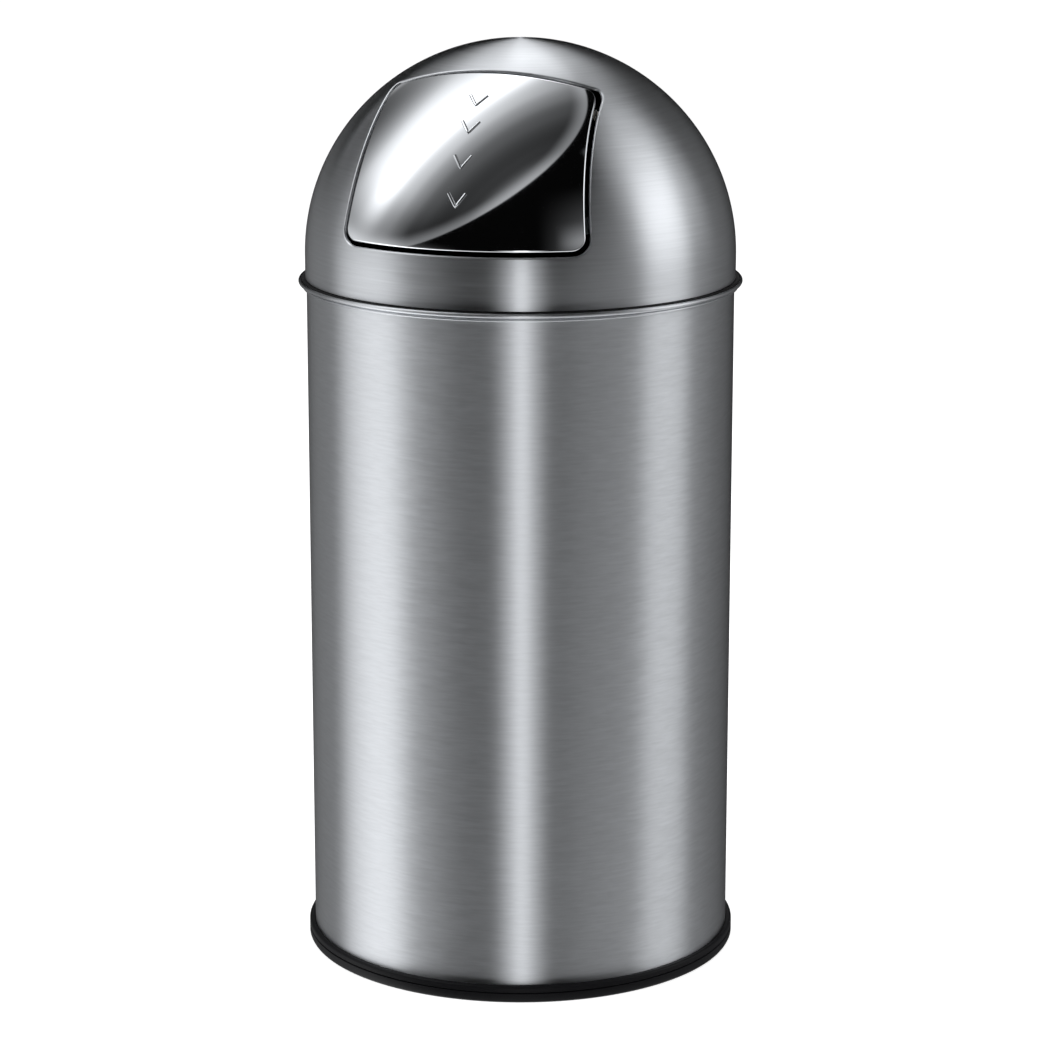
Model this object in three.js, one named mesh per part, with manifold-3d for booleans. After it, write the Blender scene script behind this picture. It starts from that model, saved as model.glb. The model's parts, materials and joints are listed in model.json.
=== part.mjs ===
// Dome top waste receptacle: a 40 litre floor bin with a sprung push flap.
//
// Millimetres, +Z up. The origin is the middle of the foot, on the floor, and the flap faces -Y.
// The body is a straight sheet steel cylinder. The lid is a spun dome that sits in the body's
// flared mouth on a moulded collar, and its flap swings inwards on a rod. A bucket with a bail
// stands inside.
import * as THREE from "three";
import { mergeVertices } from "three/addons/utils/BufferGeometryUtils.js";
import Module from "manifold-3d";

const wasm = await Module();
wasm.setup();

// ---------------------------------------------------------------- driving dimensions

const CLEARANCE = 0.3; // between faces that touch on the real object
const SHEET = 0.8; // stainless sheet of the body, dome and flap
const TURNS = 44; // facets round every revolved piece

const BODY = {
  radius: 171, // outside of the cylinder
  bottomZ: 4, // lower edge, held in the base ring
  height: 550.6, // to the top of the lip
  coveRadius: 3.6, // of the flare inside the lip, less the sheet
  lipReach: 6.5, // from the cylinder's outside to the lip's
  lipHeight: 3.5,
  lipThickness: 2, // the hem is folded sheet
  lipEdge: 0.7, // radius under the hem
  beadRadius: 1.1, // of the small bead rolled under the lip
  beadReach: 3.5, // from the cylinder's outside to the bead's
  beadDrop: 2, // from the hem's underside to the bead's middle
};

const RING = {
  reach: 4.8, // beyond the cylinder's outside
  height: 13.4,
  grooveZ: 8,
  grooveDepth: 1.4,
  grooveHalf: 0.55, // half of its width
  footBevel: 2,
  topRound: 1.8,
  innerLeg: 2.6, // thickness of the wall inside the body
  floor: 3.7, // thickness under the body's edge
};

const PLATE = {
  topZ: 24, // the bucket stands on it
  flangeDepth: 11,
  beadRadius: 118, // of the stiffening groove pressed into it
  beadWidth: 16,
  beadDepth: 2.2,
  bend: 3, // outer radius of its flange's bend
};

const DOME = {
  reach: 1, // beyond the cylinder's outside
  skirt: 19.4, // from the body's lip to the foot of the curve
  height: 170, // from the foot of the curve to the top
  curveSteps: 11,
};

const OPENING = {
  rise: 22.5, // from the foot of the dome's curve to the bottom edge
  height: 129.5, // to the middle of the arched top edge
  halfWidth: 100, // at the bottom edge
  lean: 7, // degrees by which each side leans in
  topArcRadius: 250,
  cornerRadius: 11,
  lipDepth: 2.3, // how far its edge is turned in
};

const FLAP = {
  bottomGap: 3.5, // to the opening's edge
  sideGap: 3.1,
  topGap: 1.7, // small, because this edge swings away from the opening's
  bottomCorner: 9,
  topCorner: 15,
  proud: 0.8, // of the dome's outside
  flangeDepth: 8,
  foldRadius: 1.6, // outside of every turned-in edge
  lap: 0.8, // by which a turned-in edge laps over its sheet
  sink: 0.12, // keeps that lap within the faceted sheet
};

const COLLAR = {
  wall: 2,
  spigotDepth: 20, // reach down into the body's mouth
  upstand: 9, // reach up inside the dome
  flangeThickness: 3, // fills the trough inside the lip and shows as a black line
};

const ROD = {
  behind: 17, // the middle of the opening's top edge
  below: 34, // the same point
  radius: 2.5,
  facets: 14,
};

// ears and brackets are pressed plates across the rod; inset and outset are from the opening's side
const EAR = { inset: 14, thickness: 1.5, lugWidth: 4, footWidth: 12, drop: 48 };
const BRACKET = { outset: 4, thickness: 1.5, lugWidth: 4, footWidth: 15, reach: 15, tail: 12 };
const CLIP = { thickness: 1, width: 2.5, offset: 0.8, rodPast: 1.2 };
const BUSH = { wall: 1.2 };
const SPRING = {
  wire: 1.4,
  coils: 5.15,
  startAngle: 315, // degrees, from the back, where its first leg leaves it
  legLength: 9,
  facets: 5,
  steps: 52, // along the whole wire
};
const STOP = {
  rise: 23.5, // of its middle above the opening's bottom edge
  width: 13,
  thickness: 1.2,
  weldLength: 12,
  reach: 12.5, // past the opening's edge
  buttonRadius: 3.2,
};

const LINER = {
  sideGap: 4.3, // from its rolled rim to the body
  taper: 5, // by which its foot is narrower than its mouth
  wall: 0.8,
  topDrop: 35.6, // from the body's lip down to its rim
  beadRadius: 3, // rolled rim
  baseRaise: 6, // height of its pressed bottom above its lower edge
  footWidth: 5, // flat foot round that bottom
};

const BAIL = {
  wireRadius: 2,
  gripWall: 2.2,
  gripLength: 96,
  hookReach: 5.5, // length of wire past the inside of each ear
  bendRadius: 5,
  steps: 16, // of the arc on each side of the rim
  facets: 8,
  hookSteps: 8,
};

const LUG = { width: 26, thickness: 1.5, drop: 30, crownWall: 4.2 }; // the bucket's ears
const RIVET = { radius: 2.4, headRadius: 4.2, headHeight: 1.6, spacing: 14, facets: 12 };

const COLOURS = {
  stainless: 0xa9abad,
  mirror: 0xd2d4d6,
  black: 0x19191a,
  zinc: 0xa3a8aa,
  nylon: 0xe2e0d8,
  rubber: 0x222222,
  spring: 0x8c8e90,
};

// ---------------------------------------------------------------- derived sizes

const bodyBore = BODY.radius - SHEET;
const rimRadius = BODY.radius + BODY.lipReach;
const lipBore = rimRadius - BODY.lipThickness;
const coveCentre = {
  r: BODY.radius + BODY.coveRadius,
  z: BODY.height - BODY.lipHeight - BODY.coveRadius,
};
const troughZ = coveCentre.z + BODY.coveRadius + SHEET; // floor of the trough inside the lip
const collarTopZ = troughZ + CLEARANCE + COLLAR.flangeThickness;
const ringRadius = BODY.radius + RING.reach;

const domeRadius = BODY.radius + DOME.reach;
const domeEdgeZ = collarTopZ + CLEARANCE;
const domeCentreZ = BODY.height + DOME.skirt;
const openingBottomZ = domeCentreZ + OPENING.rise;
const openingTopZ = openingBottomZ + OPENING.height;
const sideLean = radians(OPENING.lean);
const stopZ = openingBottomZ + STOP.rise;

// outlines on the dome: the width is measured at the bottom, and the sides lean in from there
const openingEdge = {
  bottomZ: openingBottomZ,
  topZ: openingTopZ,
  halfWidth: OPENING.halfWidth,
  bottomCorner: OPENING.cornerRadius,
  topCorner: OPENING.cornerRadius,
};
const flapEdge = {
  bottomZ: openingBottomZ + FLAP.bottomGap,
  topZ: openingTopZ - FLAP.topGap,
  halfWidth:
    OPENING.halfWidth - FLAP.bottomGap * Math.tan(sideLean) - FLAP.sideGap / Math.cos(sideLean),
  bottomCorner: FLAP.bottomCorner,
  topCorner: FLAP.topCorner,
};

const rod = {
  y: domePoint(0, openingTopZ).point.y + ROD.behind,
  z: openingTopZ - ROD.below,
};
const openingSideX = OPENING.halfWidth - (rod.z - openingBottomZ) * Math.tan(sideLean);
const earX = openingSideX - EAR.inset;
const bracketX = openingSideX + BRACKET.outset;
const clipX = bracketX + BRACKET.thickness + CLIP.offset;
const rodHalfLength = clipX + CLIP.thickness + CLIP.rodPast;
const boreHole = ROD.radius + CLEARANCE;
const clipRadius = boreHole + CLIP.width;
const bushRadius = boreHole + BUSH.wall;
const springRadius = bushRadius + 2 * CLEARANCE + SPRING.wire / 2;

const linerTopZ = BODY.height - LINER.topDrop;
const linerFootZ = PLATE.topZ + CLEARANCE;
const linerTopRadius = bodyBore - LINER.sideGap - 2 * LINER.beadRadius;
const linerBottomRadius = linerTopRadius - LINER.taper;
const gripRadius = BAIL.wireRadius + CLEARANCE + BAIL.gripWall;
const bailZ = linerTopZ + CLEARANCE + gripRadius;
const bailRadius = linerTopRadius + LINER.beadRadius;
const gripChordHalf = BAIL.gripLength / 2 + BAIL.bendRadius;

// ---------------------------------------------------------------- geometry helpers

function vec(x, y) {
  return new THREE.Vector2(x, y);
}

function radians(degrees) {
  return THREE.MathUtils.degToRad(degrees);
}

/** Points of an arc, angles in degrees, both ends included. */
function arc(cx, cy, radius, from, to, steps) {
  return Array.from({ length: steps + 1 }, (_, i) => {
    const a = radians(from + ((to - from) * i) / steps);
    return vec(cx + radius * Math.cos(a), cy + radius * Math.sin(a));
  });
}

/** A closed geometry as a solid that can be cut and joined. */
function solidOf(geometry) {
  const loose = geometry.index ? geometry.toNonIndexed() : geometry.clone();
  loose.deleteAttribute("normal");
  loose.deleteAttribute("uv");
  const merged = mergeVertices(loose, 1e-4);
  const mesh = new wasm.Mesh({
    numProp: 3,
    vertProperties: merged.attributes.position.array,
    triVerts: new Uint32Array(merged.index.array),
  });
  return new wasm.Manifold(mesh);
}

/** The faces of a solid as a geometry. */
function geometryOf(solid) {
  const mesh = solid.getMesh();
  const geometry = new THREE.BufferGeometry();
  const positions = new Float32Array(mesh.numVert * 3);
  for (let i = 0; i < mesh.numVert; i++) {
    positions.set(mesh.vertProperties.subarray(i * mesh.numProp, i * mesh.numProp + 3), i * 3);
  }
  geometry.setAttribute("position", new THREE.BufferAttribute(positions, 3));
  geometry.setIndex(new THREE.BufferAttribute(new Uint32Array(mesh.triVerts), 1));
  geometry.computeVertexNormals();
  return geometry;
}

/** A (radius, height) profile turned round the Z axis. */
function turned(profile, facets = TURNS) {
  return new THREE.LatheGeometry(profile, facets).rotateX(Math.PI / 2);
}

/** A closed ring profile turned round the Z axis. */
function turnedRing(profile, facets = TURNS) {
  return turned([...profile, profile[0].clone()], facets);
}

/** An (x, z) outline pushed forwards, from y = 0 to y = -depth. */
function pushedForward(outline, depth) {
  const shape = new THREE.Shape(outline);
  return new THREE.ExtrudeGeometry(shape, { depth, bevelEnabled: false }).rotateX(Math.PI / 2);
}

/** A (y, z) outline as a plate that fills x from `from` to `to`. */
function sidePlate(shape, from, to) {
  const options = { depth: to - from, bevelEnabled: false, curveSegments: 6 };
  const plate = new THREE.ExtrudeGeometry(shape, options);
  return plate.rotateX(Math.PI / 2).rotateZ(Math.PI / 2).translate(from, 0, 0);
}

/** A box given by its two corners. */
function block(low, high) {
  const size = high.map((v, i) => v - low[i]);
  const middle = high.map((v, i) => (v + low[i]) / 2);
  return new THREE.BoxGeometry(...size).translate(...middle);
}

/** A rod or disc along X. */
function alongX(radius, from, to, y, z, facets = ROD.facets) {
  const rod = new THREE.CylinderGeometry(radius, radius, to - from, facets);
  return rod.rotateZ(Math.PI / 2).translate((from + to) / 2, y, z);
}

/** The copy of a solid on the other side of the middle plane. */
function mirrored(solid) {
  return solid.mirror([1, 0, 0]);
}

// ---------------------------------------------------------------- the dome's form

/** The space under a dome surface that lies `inset` inside the real one, down to `bottom`. */
function domeSolid(inset, bottom) {
  const radius = domeRadius - inset;
  const height = DOME.height - inset;
  const profile = [vec(0, bottom), vec(radius, bottom)];
  for (let i = 0; i < DOME.curveSteps; i++) {
    const a = ((Math.PI / 2) * i) / DOME.curveSteps;
    profile.push(vec(radius * Math.cos(a), domeCentreZ + height * Math.sin(a)));
  }
  profile.push(vec(0, domeCentreZ + height));
  return solidOf(turned(profile));
}

/** The point of the dome's front at (x, z), and the direction that points out of it. */
function domePoint(x, z) {
  const u = x / domeRadius;
  const w = (z - domeCentreZ) / DOME.height;
  const y = -domeRadius * Math.sqrt(1 - u * u - w * w);
  const normal = new THREE.Vector3(u / domeRadius, y / domeRadius ** 2, w / DOME.height);
  return { point: new THREE.Vector3(x, y, z), normal: normal.normalize() };
}

/** Centres of an edge's rounded corners and of its arch: its offsets share them. */
function edgeCentres(edge) {
  const foot = vec(edge.halfWidth, edge.bottomZ);
  const along = vec(-Math.sin(sideLean), Math.cos(sideLean));
  const inward = vec(-Math.cos(sideLean), -Math.sin(sideLean));
  const low = edge.bottomCorner;
  const climb = (low * (1 + Math.sin(sideLean))) / Math.cos(sideLean);
  const bottom = foot.clone().addScaledVector(inward, low).addScaledVector(along, climb);
  const arch = vec(0, edge.topZ - OPENING.topArcRadius);
  // the upper centre is topCorner inside the side and topArcRadius - topCorner from the arch's
  const start = foot.clone().addScaledVector(inward, edge.topCorner);
  const from = start.clone().sub(arch);
  const b = from.dot(along);
  const c = from.lengthSq() - (OPENING.topArcRadius - edge.topCorner) ** 2;
  const top = start.addScaledVector(along, -b + Math.sqrt(b * b - c));
  return { bottom, top, arch };
}

/** Half of an outline, `inset` inside its edge, from the bottom to the top. */
function halfOutline(edge, inset) {
  const { bottom, top, arch } = edgeCentres(edge);
  const archAngle = (Math.atan2(top.y - arch.y, top.x - arch.x) * 180) / Math.PI;
  return [
    vec(0, edge.bottomZ + inset),
    ...arc(bottom.x, bottom.y, edge.bottomCorner - inset, -90, OPENING.lean, 4),
    ...arc(top.x, top.y, edge.topCorner - inset, OPENING.lean, archAngle, 4),
    ...arc(0, arch.y, OPENING.topArcRadius - inset, archAngle, 90, 4).slice(1),
  ];
}

/** The whole outline, anticlockwise from the front, with no step over `longest`. */
function outlineOf(edge, inset = 0, longest = 24) {
  const right = halfOutline(edge, inset);
  const left = right.slice(1, -1).reverse().map((p) => vec(-p.x, p.y));
  const corners = [...right, ...left];
  return corners.flatMap((p, i) => {
    const next = corners[(i + 1) % corners.length];
    const steps = Math.max(1, Math.ceil(p.distanceTo(next) / longest));
    return Array.from({ length: steps }, (_, k) => p.clone().lerp(next, k / steps));
  });
}

/** Everything behind and before the outline, at the front of the dome. */
function punch(edge, inset) {
  return solidOf(pushedForward(outlineOf(edge, inset), 2 * domeRadius));
}

/**
 * A strip that follows the outline on the dome's surface. Its section is a list of (side, out)
 * points: side is measured in the surface, away from the outline's middle, and out along the
 * surface's normal.
 */
function edgeStrip(outline, section) {
  const count = outline.length;
  const ring = outline.map((p) => domePoint(p.x, p.y));
  const positions = [];
  ring.forEach(({ point, normal }, i) => {
    const before = ring[(i + count - 1) % count].point;
    const after = ring[(i + 1) % count].point;
    const side = after.clone().sub(before).cross(normal).normalize();
    for (const s of section) {
      const p = point.clone().addScaledVector(side, s.x).addScaledVector(normal, s.y);
      positions.push(p.x, p.y, p.z);
    }
  });
  const index = [];
  const n = section.length;
  for (let i = 0; i < count; i++) {
    for (let k = 0; k < n; k++) {
      const a = i * n + k;
      const b = i * n + ((k + 1) % n);
      const c = ((i + 1) % count) * n + ((k + 1) % n);
      const d = ((i + 1) % count) * n + k;
      index.push(a, c, b, a, d, c);
    }
  }
  const geometry = new THREE.BufferGeometry();
  geometry.setAttribute("position", new THREE.Float32BufferAttribute(positions, 3));
  geometry.setIndex(index);
  return solidOf(geometry);
}

/**
 * Section of a turned-in edge: a piece of the sheet, a rounded fold and a flange of `depth`.
 * `away` is 1 where the sheet lies outside the outline and -1 where it lies inside.
 */
function foldSection(depth, away) {
  const outer = FLAP.foldRadius;
  const lap = outer + FLAP.lap;
  const { sink } = FLAP;
  const fold = [
    ...arc(outer, -outer - sink, outer, 90, 180, 2),
    vec(0, -depth),
    vec(SHEET, -depth),
    ...arc(outer, -outer - sink, outer - SHEET, 180, 90, 2),
    vec(lap, -SHEET - sink),
    vec(lap, -sink),
  ];
  return away > 0 ? fold : fold.map((p) => vec(-p.x, p.y)).reverse();
}

// ---------------------------------------------------------------- body

function bodyShell() {
  const c = coveCentre;
  const lipHalf = BODY.lipThickness / 2;
  const lipBottomZ = BODY.height - BODY.lipHeight;
  const beadX = BODY.radius + BODY.beadReach - BODY.beadRadius;
  const profile = [
    vec(bodyBore, BODY.bottomZ),
    vec(BODY.radius, BODY.bottomZ),
    vec(BODY.radius, c.z),
    ...arc(beadX, lipBottomZ - BODY.beadDrop, BODY.beadRadius, -90, 60, 3),
    vec(beadX, lipBottomZ),
    ...arc(rimRadius - BODY.lipEdge, lipBottomZ + BODY.lipEdge, BODY.lipEdge, -90, 0, 2),
    ...arc(rimRadius - lipHalf, BODY.height - lipHalf, lipHalf, 0, 180, 3),
    vec(lipBore, troughZ),
    ...arc(c.r, c.z, BODY.coveRadius + SHEET, 90, 180, 3),
  ];
  return turnedRing(profile);
}

function baseRing() {
  const bodyIn = bodyBore - CLEARANCE;
  const bodyOut = BODY.radius + CLEARANCE;
  const legTop = PLATE.topZ - PLATE.flangeDepth - CLEARANCE;
  const profile = [
    vec(bodyIn - RING.innerLeg, 0),
    vec(ringRadius - RING.footBevel, 0),
    vec(ringRadius, RING.footBevel),
    vec(ringRadius, RING.grooveZ - RING.grooveHalf),
    vec(ringRadius - RING.grooveDepth, RING.grooveZ),
    vec(ringRadius, RING.grooveZ + RING.grooveHalf),
    ...arc(ringRadius - RING.topRound, RING.height - RING.topRound, RING.topRound, 0, 90, 2),
    vec(bodyOut, RING.height),
    vec(bodyOut, RING.floor),
    vec(bodyIn, RING.floor),
    vec(bodyIn, legTop),
    vec(bodyIn - RING.innerLeg, legTop),
  ];
  return turnedRing(profile);
}

function basePlate() {
  const top = PLATE.topZ;
  const outer = bodyBore - CLEARANCE;
  const half = PLATE.beadWidth / 2;
  const { bend } = PLATE;
  const under = (x, z) => vec(x, z - SHEET);
  const profile = [
    under(0, top),
    under(PLATE.beadRadius - half, top),
    under(PLATE.beadRadius - half / 2, top - PLATE.beadDepth),
    under(PLATE.beadRadius + half / 2, top - PLATE.beadDepth),
    under(PLATE.beadRadius + half, top),
    ...arc(outer - bend, top - bend, bend - SHEET, 90, 0, 2),
    vec(outer - SHEET, top - PLATE.flangeDepth),
    vec(outer, top - PLATE.flangeDepth),
    ...arc(outer - bend, top - bend, bend, 0, 90, 2),
    vec(PLATE.beadRadius + half, top),
    vec(PLATE.beadRadius + half / 2, top - PLATE.beadDepth),
    vec(PLATE.beadRadius - half / 2, top - PLATE.beadDepth),
    vec(PLATE.beadRadius - half, top),
    vec(0, top),
  ];
  return turned(profile);
}

// ---------------------------------------------------------------- lid

function lidCollar() {
  const outer = bodyBore - CLEARANCE;
  const inner = outer - COLLAR.wall;
  const upstandOuter = domeRadius - SHEET - CLEARANCE;
  const flangeOuter = lipBore - CLEARANCE;
  const c = coveCentre;
  const profile = [
    vec(inner, troughZ - COLLAR.spigotDepth),
    vec(outer, troughZ - COLLAR.spigotDepth),
    ...arc(c.r, c.z, BODY.coveRadius + SHEET + CLEARANCE, 180, 90, 3),
    vec(flangeOuter, troughZ + CLEARANCE),
    vec(flangeOuter, collarTopZ),
    vec(upstandOuter, collarTopZ),
    vec(upstandOuter, collarTopZ + COLLAR.upstand),
    vec(inner, collarTopZ + COLLAR.upstand),
  ];
  return turnedRing(profile);
}

function domeShell() {
  const shell = domeSolid(0, domeEdgeZ).subtract(domeSolid(SHEET, domeEdgeZ - 1));
  const cut = shell.subtract(punch(openingEdge, -FLAP.foldRadius - FLAP.lap / 4));
  const lip = edgeStrip(outlineOf(openingEdge), foldSection(OPENING.lipDepth, 1));
  return cut.add(lip);
}

/** A plate round the rod that runs out to a sheet's inside, at `depth`, with its welded foot. */
function lugOnSheet(plate, foot, thickness, depth = SHEET) {
  const inside = domeSolid(depth + CLEARANCE, domeEdgeZ);
  const beyondFoot = domeSolid(depth + CLEARANCE + thickness, domeEdgeZ - 1);
  return plate.intersect(inside).add(inside.subtract(beyondFoot).intersect(foot));
}

function hingeBracket() {
  const b = BRACKET;
  const lug = boreHole + b.lugWidth;
  const outer = bracketX + b.thickness;
  const web = new THREE.Shape();
  web.moveTo(rod.y + lug, rod.z);
  web.absarc(rod.y, rod.z, lug, 0, -Math.PI / 2, true);
  web.lineTo(rod.y - b.reach, rod.z - lug);
  web.lineTo(rod.y - b.reach - b.tail, rod.z + b.reach);
  web.lineTo(rod.y + lug, rod.z + b.reach);
  const plate = solidOf(sidePlate(web, bracketX, outer));
  const foot = solidOf(
    block(
      [bracketX, rod.y - b.reach - b.tail, rod.z - b.reach],
      [bracketX + b.footWidth, rod.y + b.tail, rod.z + b.reach],
    ),
  );
  const hole = solidOf(alongX(boreHole, bracketX - 1, outer + 1, rod.y, rod.z));
  const clipRoom = solidOf(
    alongX(clipRadius + 2 * CLEARANCE, outer, bracketX + b.footWidth + 1, rod.y, rod.z),
  );
  const lipRoom = punch(openingEdge, -FLAP.foldRadius - SHEET - 2 * CLEARANCE);
  return lugOnSheet(plate, foot, b.thickness).subtract(lipRoom).subtract(hole).subtract(clipRoom);
}

function hingeRod() {
  return alongX(ROD.radius, -rodHalfLength, rodHalfLength, rod.y, rod.z);
}

function rodClip() {
  const disc = solidOf(alongX(clipRadius, clipX, clipX + CLIP.thickness, rod.y, rod.z));
  const hole = solidOf(alongX(boreHole, clipX - 1, clipX + CLIP.thickness + 1, rod.y, rod.z));
  return disc.subtract(hole);
}

function spacerBush() {
  const from = earX + EAR.thickness + CLEARANCE;
  const to = bracketX - CLEARANCE;
  const bush = solidOf(alongX(bushRadius, from, to, rod.y, rod.z));
  return bush.subtract(solidOf(alongX(bushRadius - BUSH.wall, from - 1, to + 1, rod.y, rod.z)));
}

/** A torsion spring round the bush, from ear to bracket, with a leg along each of them. */
class SpringPath extends THREE.Curve {
  getPoint(t) {
    const s = SPRING;
    const seat = CLEARANCE + s.wire / 2;
    const room = bracketX - earX - EAR.thickness - 2 * seat;
    const coilLength = 2 * Math.PI * springRadius * s.coils;
    const total = coilLength + 2 * s.legLength;
    const along = t * total - s.legLength;
    const onCoil = THREE.MathUtils.clamp(along, 0, coilLength);
    const past = along - onCoil;
    const angle = radians(s.startAngle) + onCoil / springRadius;
    const middle = (earX + EAR.thickness + bracketX) / 2;
    const x = middle + room * (onCoil / coilLength - 0.5);
    const y = springRadius * Math.cos(angle) - past * Math.sin(angle);
    const z = springRadius * Math.sin(angle) + past * Math.cos(angle);
    return new THREE.Vector3(x, rod.y + y, rod.z + z);
  }
}

function roundSection(radius, facets) {
  return new THREE.Shape(arc(0, 0, radius, 0, 360 - 360 / facets, facets - 1));
}

function returnSpring() {
  const section = roundSection(SPRING.wire / 2, SPRING.facets);
  const options = { steps: SPRING.steps, extrudePath: new SpringPath() };
  return new THREE.ExtrudeGeometry(section, options);
}

// ---------------------------------------------------------------- flap

function flapPanel() {
  const inside = domeSolid(SHEET - FLAP.proud, domeEdgeZ - 1);
  const sheet = domeSolid(-FLAP.proud, domeEdgeZ).subtract(inside);
  const blank = sheet.intersect(punch(flapEdge, FLAP.foldRadius + FLAP.lap / 4));
  const fold = foldSection(FLAP.flangeDepth, -1).map((p) => vec(p.x, p.y + FLAP.proud));
  return blank.add(edgeStrip(outlineOf(flapEdge), fold));
}

function flapEar() {
  const lugRadius = boreHole + EAR.lugWidth;
  const outer = earX + EAR.thickness;
  const tip = domePoint(earX, rod.z - EAR.drop).point;
  const wallY = domePoint(earX, rod.z).point.y;
  const lug = new THREE.Shape();
  lug.moveTo(rod.y + lugRadius, rod.z);
  lug.absarc(rod.y, rod.z, lugRadius, 0, Math.PI / 2, false);
  lug.lineTo(wallY, rod.z + lugRadius);
  lug.lineTo(tip.y, tip.z);
  lug.lineTo(tip.y + 3 * EAR.thickness, tip.z);
  lug.lineTo(rod.y + lugRadius * 0.7, rod.z - lugRadius * 0.7);
  const plate = solidOf(sidePlate(lug, earX, outer));
  const foot = solidOf(
    block(
      [earX - EAR.footWidth, tip.y - EAR.drop, tip.z],
      [outer, wallY + EAR.drop / 4, rod.z + lugRadius],
    ),
  );
  const hole = solidOf(alongX(boreHole, earX - 1, outer + 1, rod.y, rod.z));
  return lugOnSheet(plate, foot, EAR.thickness, SHEET - FLAP.proud).subtract(hole);
}

/** The frame at the flap's right edge at height stopZ: sideways, up along the edge, outwards. */
function stopFrame() {
  const x = flapEdge.halfWidth - (stopZ - flapEdge.bottomZ) * Math.tan(sideLean);
  const at = domePoint(x, stopZ);
  const ahead = domePoint(x - Math.tan(sideLean), stopZ + 1);
  const along = ahead.point.clone().sub(at.point).normalize();
  const side = along.clone().cross(at.normal).normalize();
  return new THREE.Matrix4().makeBasis(side, along, at.normal).setPosition(at.point);
}

/** A cranked tab: welded under the flap's sheet, it reaches under the flange and the dome's edge. */
function stopTab() {
  const t = STOP.thickness;
  const weld = FLAP.proud - SHEET;
  const under = FLAP.proud - FLAP.flangeDepth - 3 * CLEARANCE;
  const knee = -2 * FLAP.foldRadius; // clear of the flange's inner face
  const section = [
    vec(knee - STOP.weldLength, weld - 2 * t),
    vec(knee - t, weld - 2 * t),
    vec(knee - t, under - t),
    vec(STOP.reach + FLAP.sideGap, under - t),
    vec(STOP.reach + FLAP.sideGap, under),
    vec(knee, under),
    vec(knee, weld),
    vec(knee - STOP.weldLength, weld),
  ];
  const options = { depth: STOP.width, bevelEnabled: false };
  const tab = new THREE.ExtrudeGeometry(new THREE.Shape(section), options);
  tab.translate(0, 0, -STOP.width / 2).rotateX(Math.PI / 2);
  const inside = domeSolid(SHEET - FLAP.proud + CLEARANCE, domeEdgeZ);
  return solidOf(tab.applyMatrix4(stopFrame())).intersect(inside);
}

/** A rubber button on the tab, moulded to the inside of the dome that it stops against. */
function stopBuffer() {
  const side = STOP.reach + FLAP.sideGap - STOP.buttonRadius - 1;
  const r = STOP.buttonRadius;
  const foot = FLAP.flangeDepth - FLAP.proud;
  const button = new THREE.CylinderGeometry(r, r, foot, RIVET.facets);
  button.rotateX(Math.PI / 2).translate(side, 0, -foot / 2);
  const raised = solidOf(button.applyMatrix4(stopFrame()));
  return raised.intersect(domeSolid(SHEET + CLEARANCE, domeEdgeZ));
}

// ---------------------------------------------------------------- liner and bail

function linerRadiusAt(z) {
  const share = (z - linerFootZ) / (linerTopZ - linerFootZ);
  return linerBottomRadius + (linerTopRadius - linerBottomRadius) * share;
}

function linerWall() {
  const bead = LINER.beadRadius;
  const top = linerTopZ;
  const outer = linerRadiusAt(top - 2 * bead);
  const profile = [
    vec(linerBottomRadius - LINER.wall, linerFootZ),
    vec(linerBottomRadius, linerFootZ),
    vec(outer, top - 2 * bead),
    ...arc(outer + bead, top - bead, bead, -135, 135, 6),
    vec(outer, top - LINER.wall),
    vec(outer - LINER.wall, top - LINER.wall - 1),
  ];
  return turnedRing(profile);
}

function linerBase() {
  const edge = linerBottomRadius - LINER.wall - CLEARANCE;
  const { wall, footWidth: foot, baseRaise: raise } = LINER;
  const z = linerFootZ;
  const profile = [
    vec(0, z + raise),
    vec(edge - 1.5 * foot, z + raise),
    vec(edge - foot, z),
    vec(edge, z),
    vec(edge, z + 2 * wall),
    vec(edge - foot + wall, z + wall),
    vec(edge - 1.5 * foot + wall, z + raise + wall),
    vec(0, z + raise + wall),
  ];
  return turned(profile);
}

/** Inner face of the ears, and the outer one, against the wall. */
function earFaces() {
  const outer = linerRadiusAt(linerTopZ - LUG.drop) - LINER.wall - CLEARANCE;
  return { inner: outer - LUG.thickness, outer };
}

/** The wall is round and the ears flat: how far the faceted wall falls away beside the middle. */
function wallSag(halfWidth) {
  return halfWidth * Math.tan(Math.PI / TURNS);
}

function earPlate() {
  const { inner, outer } = earFaces();
  const shift = wallSag(LUG.width / 2);
  const shape = new THREE.Shape();
  const half = LUG.width / 2;
  const crown = BAIL.wireRadius + CLEARANCE + LUG.crownWall;
  const low = linerTopZ - LUG.drop;
  shape.moveTo(-half, low);
  shape.lineTo(half, low);
  shape.lineTo(half, low + RIVET.spacing);
  shape.lineTo(crown, bailZ);
  shape.absarc(0, bailZ, crown, 0, Math.PI, false);
  shape.lineTo(-half, low + RIVET.spacing);
  return solidOf(sidePlate(shape, inner - shift, outer - shift));
}

function rivetHeight() {
  return linerTopZ - LUG.drop + RIVET.spacing / 2;
}

/** Each ear is flat and the wall round, so a rivet sits on either side of the ear's middle. */
function linerEar() {
  const { inner, outer } = earFaces();
  const shift = wallSag(LUG.width / 2);
  const bore = (radius, y, z) => {
    return solidOf(alongX(radius, inner - shift - 1, outer + 1, y, z, RIVET.facets));
  };
  let ear = earPlate().subtract(bore(BAIL.wireRadius + CLEARANCE, 0, bailZ));
  for (const y of [-RIVET.spacing / 2, RIVET.spacing / 2]) {
    ear = ear.subtract(bore(RIVET.radius + CLEARANCE, y, rivetHeight()));
  }
  return ear;
}

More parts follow.
